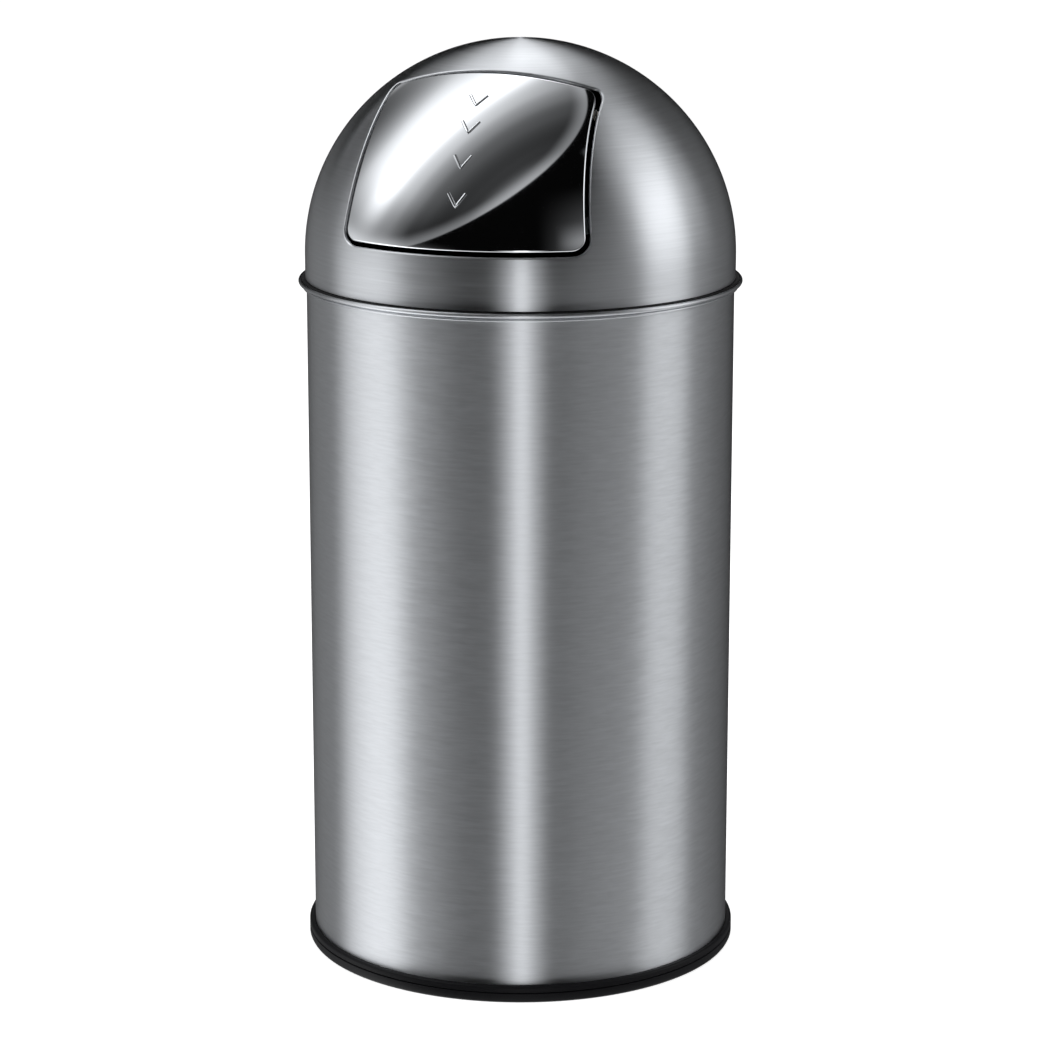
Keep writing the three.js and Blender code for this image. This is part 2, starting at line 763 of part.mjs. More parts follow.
/** A rivet from inside the ear to outside the wall, with a head at each end. */
function earRivet(y) {
  const { inner } = earFaces();
  const shift = wallSag(LUG.width / 2);
  const z = rivetHeight();
  const face = inner - shift - CLEARANCE;
  const wallOut = linerRadiusAt(z) + CLEARANCE;
  const disc = (radius, from, to) => solidOf(alongX(radius, from, to, y, z, RIVET.facets));
  return disc(RIVET.radius, face - 1, wallOut + 1)
    .add(disc(RIVET.headRadius, face - RIVET.headHeight, face))
    .add(disc(RIVET.headRadius, wallOut, wallOut + RIVET.headHeight));
}

function rivetHoles() {
  const holes = [];
  for (const y of [-RIVET.spacing / 2, RIVET.spacing / 2]) {
    const from = linerBottomRadius - LUG.thickness;
    const radius = RIVET.radius + CLEARANCE;
    const hole = solidOf(alongX(radius, from, BODY.radius, y, rivetHeight(), RIVET.facets));
    holes.push(hole, mirrored(hole));
  }
  return holes;
}

/** A stretch of the bail that follows the bucket's rim, between two angles. */
class RimArc extends THREE.Curve {
  constructor(from, to) {
    super();
    this.from = from;
    this.to = to;
  }
  getPoint(t) {
    const a = this.from + (this.to - this.from) * t;
    return new THREE.Vector3(bailRadius * Math.cos(a), bailRadius * Math.sin(a), bailZ);
  }
}

function wireAlong(path, steps) {
  const section = roundSection(BAIL.wireRadius, BAIL.facets);
  return solidOf(new THREE.ExtrudeGeometry(section, { steps, extrudePath: path }));
}

/** Angle along the rim at which the bend into the ear ends. */
function bendAngle() {
  return Math.asin(BAIL.bendRadius / (bailRadius - BAIL.bendRadius));
}

/** The wire's end: out through the ear's hole, then bent along the rim. */
function bailHook() {
  const { inner } = earFaces();
  const start = inner - wallSag(LUG.width / 2) - BAIL.hookReach;
  const bend = bendAngle();
  const bendStart = (bailRadius - BAIL.bendRadius) * Math.cos(bend);
  const at = (x, y) => new THREE.Vector3(x, y, bailZ);
  const joint = at(bailRadius * Math.cos(bend), bailRadius * Math.sin(bend));
  const pinEnd = bendStart + BAIL.wireRadius / 2;
  const pin = solidOf(alongX(BAIL.wireRadius, start, pinEnd, 0, bailZ, BAIL.facets));
  const elbow = new THREE.CurvePath();
  elbow.add(new THREE.QuadraticBezierCurve3(at(bendStart, 0), at(bailRadius, 0), joint));
  elbow.add(new RimArc(bend, bend + 0.02));
  return pin.add(wireAlong(elbow, BAIL.hookSteps));
}

/** The bail lies folded round the back of the rim, with a straight stretch under its grip. */
function bailWire() {
  const flat = Math.asin(gripChordHalf / bailRadius);
  const side = wireAlong(new RimArc(bendAngle(), Math.PI / 2 - flat), BAIL.steps).add(bailHook());
  const half = gripChordHalf + BAIL.wireRadius * Math.tan(flat / 2);
  const chordY = bailRadius * Math.cos(flat);
  const chord = solidOf(alongX(BAIL.wireRadius, -half, half, chordY, bailZ, BAIL.facets));
  return side.add(chord).add(mirrored(side));
}

function bailGrip() {
  const y = Math.sqrt(bailRadius ** 2 - gripChordHalf ** 2);
  const half = BAIL.gripLength / 2;
  const tube = solidOf(alongX(gripRadius, -half, half, y, bailZ));
  const bore = alongX(BAIL.wireRadius + CLEARANCE, -half - 1, half + 1, y, bailZ);
  return tube.subtract(solidOf(bore));
}

// ---------------------------------------------------------------- assembly

function finish(colour, roughness, metalness) {
  return new THREE.MeshStandardMaterial({ color: colour, roughness, metalness });
}

const FINISHES = {
  brushed: () => finish(COLOURS.stainless, 0.35, 1),
  mirror: () => finish(COLOURS.mirror, 0.05, 1),
  black: () => finish(COLOURS.black, 0.5, 0),
  zinc: () => finish(COLOURS.zinc, 0.45, 1),
  nylon: () => finish(COLOURS.nylon, 0.4, 0),
  rubber: () => finish(COLOURS.rubber, 0.8, 0),
  spring: () => finish(COLOURS.spring, 0.3, 1),
};

function addPiece(group, name, shape, finishName) {
  const geometry = shape.isBufferGeometry ? shape : geometryOf(shape);
  const mesh = new THREE.Mesh(geometry, FINISHES[finishName]());
  mesh.name = name;
  group.add(mesh);
}

/** A piece on each side: the shape is the one at +X, to the right of someone facing the flap. */
function addPair(group, name, shape, finishName) {
  const solid = shape.isBufferGeometry ? solidOf(shape) : shape;
  addPiece(group, name + "_right", solid, finishName);
  addPiece(group, name + "_left", mirrored(solid), finishName);
}

function makeBody() {
  const body = new THREE.Group();
  addPiece(body, "body_shell", bodyShell(), "brushed");
  addPiece(body, "base_ring", baseRing(), "black");
  addPiece(body, "base_plate", basePlate(), "zinc");
  return body;
}

function makeLid() {
  const lid = new THREE.Group();
  addPiece(lid, "dome_shell", domeShell(), "brushed");
  addPiece(lid, "lid_collar", lidCollar(), "black");
  addPair(lid, "hinge_bracket", hingeBracket(), "zinc");
  addPiece(lid, "hinge_rod", hingeRod(), "zinc");
  addPair(lid, "rod_clip", rodClip(), "spring");
  addPair(lid, "spacer_bush", spacerBush(), "nylon");
  addPair(lid, "return_spring", returnSpring(), "spring");
  return lid;
}

function makeFlap() {
  const flap = new THREE.Group();
  addPiece(flap, "flap_panel", flapPanel(), "mirror");
  addPair(flap, "flap_ear", flapEar(), "zinc");
  addPair(flap, "stop_tab", stopTab(), "zinc");
  addPair(flap, "stop_buffer", stopBuffer(), "rubber");
  return flap;
}

function makeLiner() {
  const liner = new THREE.Group();
  const wall = rivetHoles().reduce((solid, hole) => solid.subtract(hole), solidOf(linerWall()));
  addPiece(liner, "liner_wall", wall, "zinc");
  addPiece(liner, "liner_base", linerBase(), "zinc");
  addPair(liner, "liner_ear", linerEar(), "zinc");
  addPair(liner, "ear_rivet_front", earRivet(-RIVET.spacing / 2), "zinc");
  addPair(liner, "ear_rivet_back", earRivet(RIVET.spacing / 2), "zinc");
  return liner;
}

function makeBail() {
  const bail = new THREE.Group();
  addPiece(bail, "bail_wire", bailWire(), "zinc");
  addPiece(bail, "bail_grip", bailGrip(), "black");
  return bail;
}

const bin = new THREE.Group();
bin.name = "dome_top_bin";
bin.add(makeBody(), makeLid(), makeFlap(), makeLiner(), makeBail());

export default bin;
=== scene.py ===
"""Dome top waste receptacle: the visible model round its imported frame.

Sizes are written in millimetres and each mesh becomes metres as it is finished. +Z is up, the
origin is on the floor in the middle of the foot, and the push flap faces -Y.
"""

from __future__ import annotations

import json
import logging
import math
from dataclasses import dataclass
from enum import Enum
from itertools import pairwise
from typing import Callable, Iterable, Sequence

import bmesh
import bpy
from bmesh.types import BMEdge, BMesh, BMVert
from mathutils import Matrix, Vector

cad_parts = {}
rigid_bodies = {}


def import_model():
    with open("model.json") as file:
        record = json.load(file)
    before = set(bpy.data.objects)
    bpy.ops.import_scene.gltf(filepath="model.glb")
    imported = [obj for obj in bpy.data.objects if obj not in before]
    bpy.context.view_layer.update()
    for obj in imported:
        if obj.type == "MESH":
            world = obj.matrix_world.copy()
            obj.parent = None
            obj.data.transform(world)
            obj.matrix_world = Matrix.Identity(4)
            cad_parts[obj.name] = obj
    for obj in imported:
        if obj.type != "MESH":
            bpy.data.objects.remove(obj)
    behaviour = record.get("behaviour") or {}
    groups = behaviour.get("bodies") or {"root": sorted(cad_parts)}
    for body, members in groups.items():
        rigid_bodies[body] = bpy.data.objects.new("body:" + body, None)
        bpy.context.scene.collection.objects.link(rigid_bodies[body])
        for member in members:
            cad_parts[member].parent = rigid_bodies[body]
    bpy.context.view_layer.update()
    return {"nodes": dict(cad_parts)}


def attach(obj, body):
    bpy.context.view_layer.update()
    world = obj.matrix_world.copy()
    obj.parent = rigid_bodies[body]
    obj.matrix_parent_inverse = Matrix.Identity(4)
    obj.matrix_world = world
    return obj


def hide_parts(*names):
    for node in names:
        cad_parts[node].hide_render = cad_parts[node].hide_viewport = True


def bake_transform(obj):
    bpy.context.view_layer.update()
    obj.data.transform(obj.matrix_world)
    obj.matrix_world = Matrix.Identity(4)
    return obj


log = logging.getLogger("bin")

MM = 0.001
SEGMENTS = 256  # round every large turned piece
Point = tuple[float, float]
Place = Callable[[int], Vector]


class Slot(Enum):
    """The record's material slots."""

    BODY = "brushed_body"
    DOME = "brushed_dome"
    FLAP = "polished_flap"
    RING = "black_ring"
    COLLAR = "black_collar"
    ZINC = "zinc_sheet"
    ROD = "rod_steel"
    SPRING = "spring_steel"
    NYLON = "nylon"
    RUBBER = "buffer_rubber"
    BUCKET = "galvanised_bucket"
    RIVET = "rivet"
    BAIL = "bail_steel"
    GRIP = "grip_plastic"


class Pattern(Enum):
    """How a finish varies over its surface."""

    BRUSHED = "grain in level rings up a straight wall"
    SPUN = "grain in rings round a dome"
    CLOUDS = "soft patches"
    SPANGLE = "crystals of a zinc coat"
    GRIT = "the fine tooth of a mould"


# ---------------------------------------------------------------- materials


def linear(code: str) -> tuple[float, float, float, float]:
    """Turn an sRGB colour into the linear one that a shader takes.

    Args:
        code: six hexadecimal digits after a hash.

    Returns:
        Red, green, blue and a full alpha.
    """
    parts = [int(code[i : i + 2], 16) / 255 for i in (1, 3, 5)]
    line = [p / 12.92 if p <= 0.04045 else ((p + 0.055) / 1.055) ** 2.4 for p in parts]
    return (line[0], line[1], line[2], 1.0)


def add_node(
    tree: bpy.types.NodeTree,
    kind: str,
    inputs: dict[int | str, object] | None = None,
    **settings: object,
) -> bpy.types.Node:
    """Add a node with its settings, values and links.

    Args:
        tree: the node tree it goes into.
        kind: the node's type name, without the ShaderNode in front.
        inputs: a value, or the output to link, for each input socket.
        settings: the node's own properties.

    Returns:
        The new node.
    """
    node = tree.nodes.new("ShaderNode" + kind)
    for key, value in settings.items():
        setattr(node, key, value)
    for socket, value in (inputs or {}).items():
        if isinstance(value, bpy.types.NodeSocket):
            tree.links.new(value, node.inputs[socket])
        else:
            node.inputs[socket].default_value = value
    return node


def blank_tree(owner: bpy.types.Material | bpy.types.World) -> bpy.types.NodeTree:
    """Switch on the nodes of a material or a world and empty them.

    Args:
        owner: the material or the world.

    Returns:
        Its node tree.
    """
    owner.use_nodes = True
    owner.node_tree.nodes.clear()
    return owner.node_tree


@dataclass(frozen=True)
class Finish:
    """A real surface: its colour, its gloss and the pattern that its making leaves."""

    name: str
    colour: str
    roughness: float
    pattern: Pattern
    size: float  # of the pattern, in millimetres
    metallic: float = 1.0
    stretch: float = 1.0  # length of the grain over its width
    shade: float = 0.05  # how far the pattern moves the colour
    rough_shift: float = 0.05  # and the roughness
    bump: float = 0.0  # height of the relief, in millimetres
    anisotropic: float = 0.0
    specular: float = 0.5

    def coordinates(self, tree: bpy.types.NodeTree) -> bpy.types.NodeSocket:
        """Return the place on the surface, in pattern sizes.

        Args:
            tree: the material's node tree.

        Returns:
            The output of the last mapping node.
        """
        place = add_node(tree, "TexCoord").outputs["Object"]
        across = 1 / (self.size * MM)
        along = across / self.stretch
        if self.pattern is Pattern.SPUN:
            place = self.unrolled(tree, place)
        mapping = add_node(tree, "Mapping", {"Vector": place, "Scale": (along, along, across)})
        return mapping.outputs[0]

    def unrolled(
        self, tree: bpy.types.NodeTree, place: bpy.types.NodeSocket
    ) -> bpy.types.NodeSocket:
        """Replace the height by the length of the dome's curve, so that its rings stay even.

        Args:
            tree: the material's node tree.
            place: the object's own coordinates.

        Returns:
            A vector whose third part runs up the curve.
        """
        parts = add_node(tree, "SeparateXYZ", {0: place}).outputs
        flat = add_node(tree, "CombineXYZ", {"X": parts["X"], "Y": parts["Y"]}).outputs[0]
        reach = add_node(tree, "VectorMath", {0: flat}, operation="LENGTH").outputs["Value"]
        base = DOME.centre_z * MM
        rise = add_node(tree, "Math", {0: parts["Z"], 1: base}, operation="SUBTRACT").outputs[0]
        angle = add_node(tree, "Math", {0: rise, 1: reach}, operation="ARCTAN2").outputs[0]
        run = {0: angle, 1: DOME.radius * MM}
        length = add_node(tree, "Math", run, operation="MULTIPLY").outputs[0]
        joined = {"X": parts["X"], "Y": parts["Y"], "Z": length}
        return add_node(tree, "CombineXYZ", joined).outputs[0]

    def variation(self, tree: bpy.types.NodeTree) -> bpy.types.NodeSocket:
        """Return the pattern as a number from 0 to 1.

        Args:
            tree: the material's node tree.

        Returns:
            The output that carries it.
        """
        place = self.coordinates(tree)
        if self.pattern is Pattern.SPANGLE:
            cells = add_node(tree, "TexVoronoi", {"Vector": place, "Scale": 1.0})
            return add_node(tree, "SeparateColor", {0: cells.outputs["Color"]}).outputs[0]
        detail = 2.0 if self.pattern is Pattern.CLOUDS else 4.0
        inputs = {"Vector": place, "Scale": 1.0, "Detail": detail, "Roughness": 0.6}
        noise = add_node(tree, "TexNoise", inputs).outputs["Fac"]
        if self.pattern not in (Pattern.BRUSHED, Pattern.SPUN):
            return noise
        return add_node(tree, "MapRange", {0: noise, 1: 0.33, 2: 0.67}).outputs[0]

    def build(self) -> bpy.types.Material:
        """Make the material.

        Returns:
            The new material, with its whole node tree.
        """
        material = bpy.data.materials.new(self.name)
        tree = blank_tree(material)
        amount = self.variation(tree)
        base = Vector(linear(self.colour)[:3])
        ends = [(*(base * (1 + side * self.shade)), 1.0) for side in (-1, 1)]
        mix = {"Factor": amount, 6: ends[0], 7: ends[1]}
        colour = add_node(tree, "Mix", mix, data_type="RGBA").outputs[2]
        low, high = (self.roughness + side * self.rough_shift for side in (-1, 1))
        rough = add_node(tree, "MapRange", {"Value": amount, "To Min": low, "To Max": high})
        inputs: dict[int | str, object] = {
            "Base Color": colour,
            "Roughness": rough.outputs[0],
            "Metallic": self.metallic,
            "Specular IOR Level": self.specular,
        }
        if self.bump:
            relief = {"Height": amount, "Strength": 1.0, "Distance": self.bump * MM}
            inputs["Normal"] = add_node(tree, "Bump", relief).outputs[0]
        if self.anisotropic:
            # grooves run round the axis, so the highlight is drawn out across them
            inputs["Anisotropic"] = self.anisotropic
            inputs["Anisotropic Rotation"] = 0.25
            radial = add_node(tree, "Tangent", direction_type="RADIAL", axis="Z")
            inputs["Tangent"] = radial.outputs[0]
        shader = add_node(tree, "BsdfPrincipled", inputs)
        add_node(tree, "OutputMaterial", {"Surface": shader.outputs[0]})
        return material


def finishes() -> dict[Slot, Finish]:
    """Return the finish of each slot.

    Returns:
        Every slot with what it is made of.
    """
    brushed, spun, clouds, grit = Pattern.BRUSHED, Pattern.SPUN, Pattern.CLOUDS, Pattern.GRIT
    grain = {"shade": 0.06, "rough_shift": 0.02, "bump": 0.002}
    moulded = {"metallic": 0, "shade": 0.2, "bump": 0.02}
    return {
        # stainless sheet drawn past an abrasive belt: level scratches, drawn as coarse as shows
        Slot.BODY: Finish(
            "belt_brushed_stainless", "#c6c8cb", 0.355, brushed, 2.2,
            stretch=9, anisotropic=0.945, **grain,
        ),
        # spun on a lathe and brushed there: rings round the pole
        Slot.DOME: Finish(
            "lathe_spun_stainless", "#c3c5c8", 0.33, spun, 2,
            stretch=30, anisotropic=0.9, **grain,
        ),
        # buffed to a mirror: only long soft waves of the buffing wheel are left
        Slot.FLAP: Finish(
            "mirror_buffed_stainless", "#dcdee1", 0.045, clouds, 40, shade=0.01, rough_shift=0.012
        ),
        # injection moulded polypropylene, satin black
        Slot.RING: Finish(
            "satin_polypropylene", "#111113", 0.42, grit, 0.9,
            rough_shift=0.07, specular=0.11, **moulded,
        ),
        # the same plastic off a coarser mould, but darker: its black also stands in for the shade
        # in the trough between the dome's edge and the lip, so it is partly painted shade
        Slot.COLLAR: Finish(
            "matt_polypropylene_and_trough_shade", "#0c0c0d", 0.6, grit, 0.9,
            rough_shift=0.07, specular=0.15, **moulded,
        ),
        # pressed sheet with a passivated zinc plate: faint cool clouds
        Slot.ZINC: Finish(
            "zinc_plated_sheet", "#b4bbbf", 0.36, clouds, 9, shade=0.08, rough_shift=0.09
        ),
        # cold drawn bright rod: a faint change of gloss along it
        Slot.ROD: Finish("bright_drawn_rod", "#bfc1c3", 0.24, clouds, 4, rough_shift=0.06),
        # patented spring wire with a trace of oil
        Slot.SPRING: Finish(
            "oiled_spring_wire", "#8e8d8b", 0.3, clouds, 3, shade=0.1, rough_shift=0.08
        ),
        # cut from extruded tube: an even, slightly warm white
        Slot.NYLON: Finish("natural_nylon", "#e4e0d2", 0.42, clouds, 5, metallic=0, shade=0.03),
        # moulded with a dull skin
        Slot.RUBBER: Finish(
            "moulded_rubber", "#1d1d1c", 0.78, grit, 0.8, metallic=0, shade=0.15, bump=0.03
        ),
        # hot dipped sheet: crystals of the zinc coat, about 10 mm across
        Slot.BUCKET: Finish(
            "hot_dip_galvanised_sheet", "#aab0b3", 0.42, Pattern.SPANGLE, 10,
            shade=0.09, rough_shift=0.1,
        ),
        # cold headed: bright, with no grain
        Slot.RIVET: Finish("plain_aluminium", "#c9cacb", 0.34, clouds, 3, rough_shift=0.06),
        # drawn wire with a thin zinc coat
        Slot.BAIL: Finish(
            "galvanised_wire", "#a6abad", 0.38, clouds, 5, shade=0.08, rough_shift=0.08
        ),
        # extruded tube with a satin skin
        Slot.GRIP: Finish(
            "satin_tube_plastic", "#18181a", 0.45, grit, 0.9, rough_shift=0.06, **moulded
        ),
    }


# ---------------------------------------------------------------- mesh helpers


def arc(
    centre: Point, radius: float, start: float, end: float, steps: int
) -> list[Point]:
    """Return the points of an arc in a profile, both ends included.

    Args:
        centre: its middle.
        radius: its radius.
        start: first angle in degrees.
        end: last angle in degrees.
        steps: number of chords.

    Returns:
        The points in order.
    """
    angles = [math.radians(start + (end - start) * i / steps) for i in range(steps + 1)]
    return [(centre[0] + radius * math.cos(a), centre[1] + radius * math.sin(a)) for a in angles]


def turned(profile: Sequence[Point], segments: int = SEGMENTS, closed: bool = True) -> BMesh:
    """Spin a (radius, height) profile round the Z axis.

    Args:
        profile: its points in order.
        segments: facets of the full turn.
        closed: whether its last point joins its first.

    Returns:
        The solid or shell, with its poles and its seam merged.
    """
    bm = bmesh.new()
    verts = [bm.verts.new((r, 0, z)) for r, z in profile]
    pairs = list(pairwise(verts)) + ([(verts[-1], verts[0])] if closed else [])
    edges = [bm.edges.new(pair) for pair in pairs]
    bmesh.ops.spin(
        bm, geom=[*verts, *edges], cent=(0, 0, 0), axis=(0, 0, 1), dvec=(0, 0, 0),
        angle=math.tau, steps=segments, use_merge=True,
    )
    bmesh.ops.remove_doubles(bm, verts=bm.verts, dist=0.002)
    bmesh.ops.recalc_face_normals(bm, faces=bm.faces)
    return bm


def laid_along_x(bm: BMesh, x: float, y: float, z: float) -> BMesh:
    """Turn a solid of revolution onto the X axis and move it.

    Args:
        bm: the solid, turned about Z.
        x: shift along its own axis.
        y: the axis's place.
        z: the axis's height.

    Returns:
        The same mesh.
    """
    turn = Matrix.Rotation(math.pi / 2, 3, "Y")
    bmesh.ops.rotate(bm, cent=(0, 0, 0), matrix=turn, verts=bm.verts)
    bmesh.ops.translate(bm, vec=(x, y, z), verts=bm.verts)
    return bm


def wire(points: Iterable[Sequence[float]], radius: float, sides: int = 4) -> BMesh:
    """Bend a round wire along a path.

    Args:
        points: the path's points in order.
        radius: of the wire.
        sides: resolution of its section.

    Returns:
        The wire with closed ends.
    """
    path = [Vector(p) for p in points]
    curve = bpy.data.curves.new("path", "CURVE")
    curve.dimensions = "3D"
    curve.bevel_depth = radius
    curve.bevel_resolution = sides
    curve.use_fill_caps = True
    spline = curve.splines.new("POLY")
    spline.points.add(len(path) - 1)
    for point, place in zip(spline.points, path):
        point.co = (*place, 1)
    carrier = bpy.data.objects.new("path", curve)
    mesh = bpy.data.meshes.new_from_object(carrier)
    bm = bmesh.new()
    bm.from_mesh(mesh)
    for used in (carrier, curve, mesh):
        bpy.data.batch_remove([used])
    bmesh.ops.remove_doubles(bm, verts=bm.verts, dist=0.001)
    return bm


def join(*parts: BMesh) -> BMesh:
    """Put several meshes into the first one.

    Args:
        parts: the meshes, of which all but the first are freed.

    Returns:
        The first one.
    """
    whole = parts[0]
    for part in parts[1:]:
        mesh = bpy.data.meshes.new("part")
        part.to_mesh(mesh)
        part.free()
        whole.from_mesh(mesh)
        bpy.data.meshes.remove(mesh)
    return whole


def chamfered(bore: float, rim: float, low: float, high: float, edge: float) -> list[Point]:
    """Return the profile of a rod or tube, from `low` to `high`, with chamfered outer edges."""
    outside = [(rim - edge, low), (rim, low + edge), (rim, high - edge), (rim - edge, high)]
    return [(bore, low), *outside, (bore, high)]


def mirrored(bm: BMesh) -> BMesh:
    """Return a copy on the other side of the middle plane, facing outwards.

    Args:
        bm: the mesh at +X, which stays as it is.

    Returns:
        The copy at -X.
    """
    other = bm.copy()
    bmesh.ops.scale(other, vec=(-1, 1, 1), verts=other.verts)
    bmesh.ops.reverse_faces(other, faces=other.faces)
    return other


def both_sides(right: BMesh) -> tuple[tuple[str, BMesh], tuple[str, BMesh]]:
    """Return the mirror image and the piece itself, each with the end of its name."""
    return (("_left", mirrored(right)), ("_right", right))


def as_object(bm: BMesh, name: str, scale: float = MM) -> bpy.types.Object:
    """Turn a mesh in millimetres into an object in the scene.

    Args:
        bm: the mesh, which is freed.
        name: of the object.
        scale: metres in one of its units.

    Returns:
        The object, at the origin.
    """
    bmesh.ops.scale(bm, vec=(scale,) * 3, verts=bm.verts)
    mesh = bpy.data.meshes.new(name)
    bm.to_mesh(mesh)
    bm.free()
    thing = bpy.data.objects.new(name, mesh)
    bpy.context.scene.collection.objects.link(thing)
    return thing


def with_modifier(bm: BMesh, kind: str, **settings: object) -> BMesh:
    """Apply one modifier to a mesh in millimetres.

    Args:
        bm: the mesh, which is freed.
        kind: the modifier's type.
        settings: its properties.

    Returns:
        The result.
    """
    thing = as_object(bm, "blank", 1.0)
    modifier = thing.modifiers.new(kind.lower(), kind)
    for key, value in settings.items():
        setattr(modifier, key, value)
    shown = thing.evaluated_get(bpy.context.evaluated_depsgraph_get())
    mesh = bpy.data.meshes.new_from_object(shown)
    made = bmesh.new()
    made.from_mesh(mesh)
    blank = thing.data
    for used in (thing, blank, mesh):
        bpy.data.batch_remove([used])
    return made


@dataclass
class Workshop:
    """Gives pieces their finish and sets them on the bodies that carry them."""

    materials: dict[Slot, bpy.types.Material]

    def add(
        self,
        bm: BMesh,
        name: str,
        body: str,
        slot: Slot,
        replaces: Sequence[str],
        crease: float = 32,
    ) -> bpy.types.Object:
        """Finish a new piece.

        Args:
            bm: its mesh in millimetres.
            name: of the piece.
            body: the body it rides on, or nothing to leave it on none.
            slot: its material slot.
            replaces: the nodes it stands for.
            crease: angle in degrees from which its edges look sharp.

        Returns:
            The piece.
        """
        piece = as_object(bm, name)
        piece.data.shade_smooth()
        piece.data.set_sharp_from_angle(angle=math.radians(crease))
        piece.data.materials.append(self.materials[slot])
        if body:
            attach(piece, body)
        if replaces:
            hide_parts(*replaces)
        log.info("%s: %d faces on %s", name, len(piece.data.polygons), body or "a joint")
        return piece

    def dress(self, nodes: dict[str, bpy.types.Object], slot: Slot, *names: str) -> None:
        """Give pressed pieces of the frame their finish and a soft edge.

        Args:
            nodes: the frame's nodes.
            slot: their material slot.
            names: the nodes that keep their own shape.
        """
        for name in names:
            node = nodes[name]
            node.data.materials.clear()
            node.data.materials.append(self.materials[slot])
            weld = node.modifiers.new("weld", "WELD")
            weld.merge_threshold = 0.002 * MM
            edge = node.modifiers.new("edge", "BEVEL")
            edge.width = 0.25 * MM
            edge.segments = 2
            edge.limit_method = "ANGLE"
            edge.angle_limit = math.radians(35)
            log.info("%s keeps its own shape", name)


# ---------------------------------------------------------------- the dome's form


@dataclass(frozen=True)
class DomeForm:
    """The outside of the lid: half an ellipsoid over a short straight skirt."""

    radius: float = 172
    height: float = 170
    centre_z: float = 570
    edge_z: float = 551.5
    sheet: float = 0.8
    fold: float = 1.6  # outer radius of every turned-in edge

    def normal(self, place: Vector) -> Vector:
        """Find the outward direction at a place on the curve.

        Args:
            place: the place, in millimetres.

        Returns:
            A unit vector.
        """
        x, y, z = place
        across, up = self.radius**2, self.height**2
        return Vector((x / across, y / across, (z - self.centre_z) / up)).normalized()

    def front(self, x: float, z: float, proud: float = 0.0) -> Vector:
        """Find the place on the front of the curve at (x, z).

        Args:
            x: to the right of the middle.
            z: height.
            proud: how far the place stands out of the curve.

        Returns:
            The place.
        """
        rest = 1 - (x / self.radius) ** 2 - ((z - self.centre_z) / self.height) ** 2
        place = Vector((x, -self.radius * math.sqrt(max(rest, 0)), z))
        return place + self.normal(place) * proud

    def depth(self, place: Vector) -> float:
        """Find roughly how far a place lies under the curve.

        Args:
            place: the place, in millimetres.

        Returns:
            The depth, which is negative outside.
        """
        x, y, z = place
        rise = (z - self.centre_z) / self.height
        return self.radius * (1 - math.sqrt((x * x + y * y) / self.radius**2 + rise * rise))


DOME = DomeForm()


@dataclass(frozen=True)
class Edge:
    """An arched outline on the front of the dome: the opening's, and the flap's inside it."""

    bottom_z: float
    top_z: float
    half_width: float  # at the bottom, from where the sides lean in
    corners: tuple[float, float]  # radii at the bottom and at the top
    lean: float = 7
    arch_radius: float = 250
    step: float = 3.2

    def centres(self) -> tuple[Vector, Vector]:
        """Find the centres of the two corners on the right.

        Returns:
            The lower one and the upper one, as (x, z).
        """
        lean = math.radians(self.lean)
        foot = Vector((self.half_width, self.bottom_z))
        along = Vector((-math.sin(lean), math.cos(lean)))
        inward = Vector((-math.cos(lean), -math.sin(lean)))
        low, high = self.corners
        climb = low * (1 + math.sin(lean)) / math.cos(lean)
        start = foot + inward * high
        offset = start - Vector((0, self.top_z - self.arch_radius))
        b = offset.dot(along)
        c = offset.length_squared - (self.arch_radius - high) ** 2
        return foot + inward * low + along * climb, start + along * (math.sqrt(b * b - c) - b)

    def outline(self) -> list[Point]:
        """Draw the outline in short even steps.

        Returns:
            Its (x, z) points, anticlockwise from the front.
        """
        low, high = self.centres()
        arch_z = self.top_z - self.arch_radius
        turn = math.degrees(math.atan2(high.y - arch_z, high.x))
        right = [
            (0.0, self.bottom_z),
            *arc((low.x, low.y), self.corners[0], -90, self.lean, 9),
            *arc((high.x, high.y), self.corners[1], self.lean, turn, 7),
            *arc((0, arch_z), self.arch_radius, turn, 90, 24)[1:],
        ]
        left = [(-x, z) for x, z in reversed(right[1:-1])]
        whole = right + left
        points: list[Point] = []
        for (x, z), (u, w) in zip(whole, whole[1:] + whole[:1]):
            count = max(1, round(math.hypot(u - x, w - z) / self.step))
            points += [(x + (u - x) * k / count, z + (w - z) * k / count) for k in range(count)]
        return points


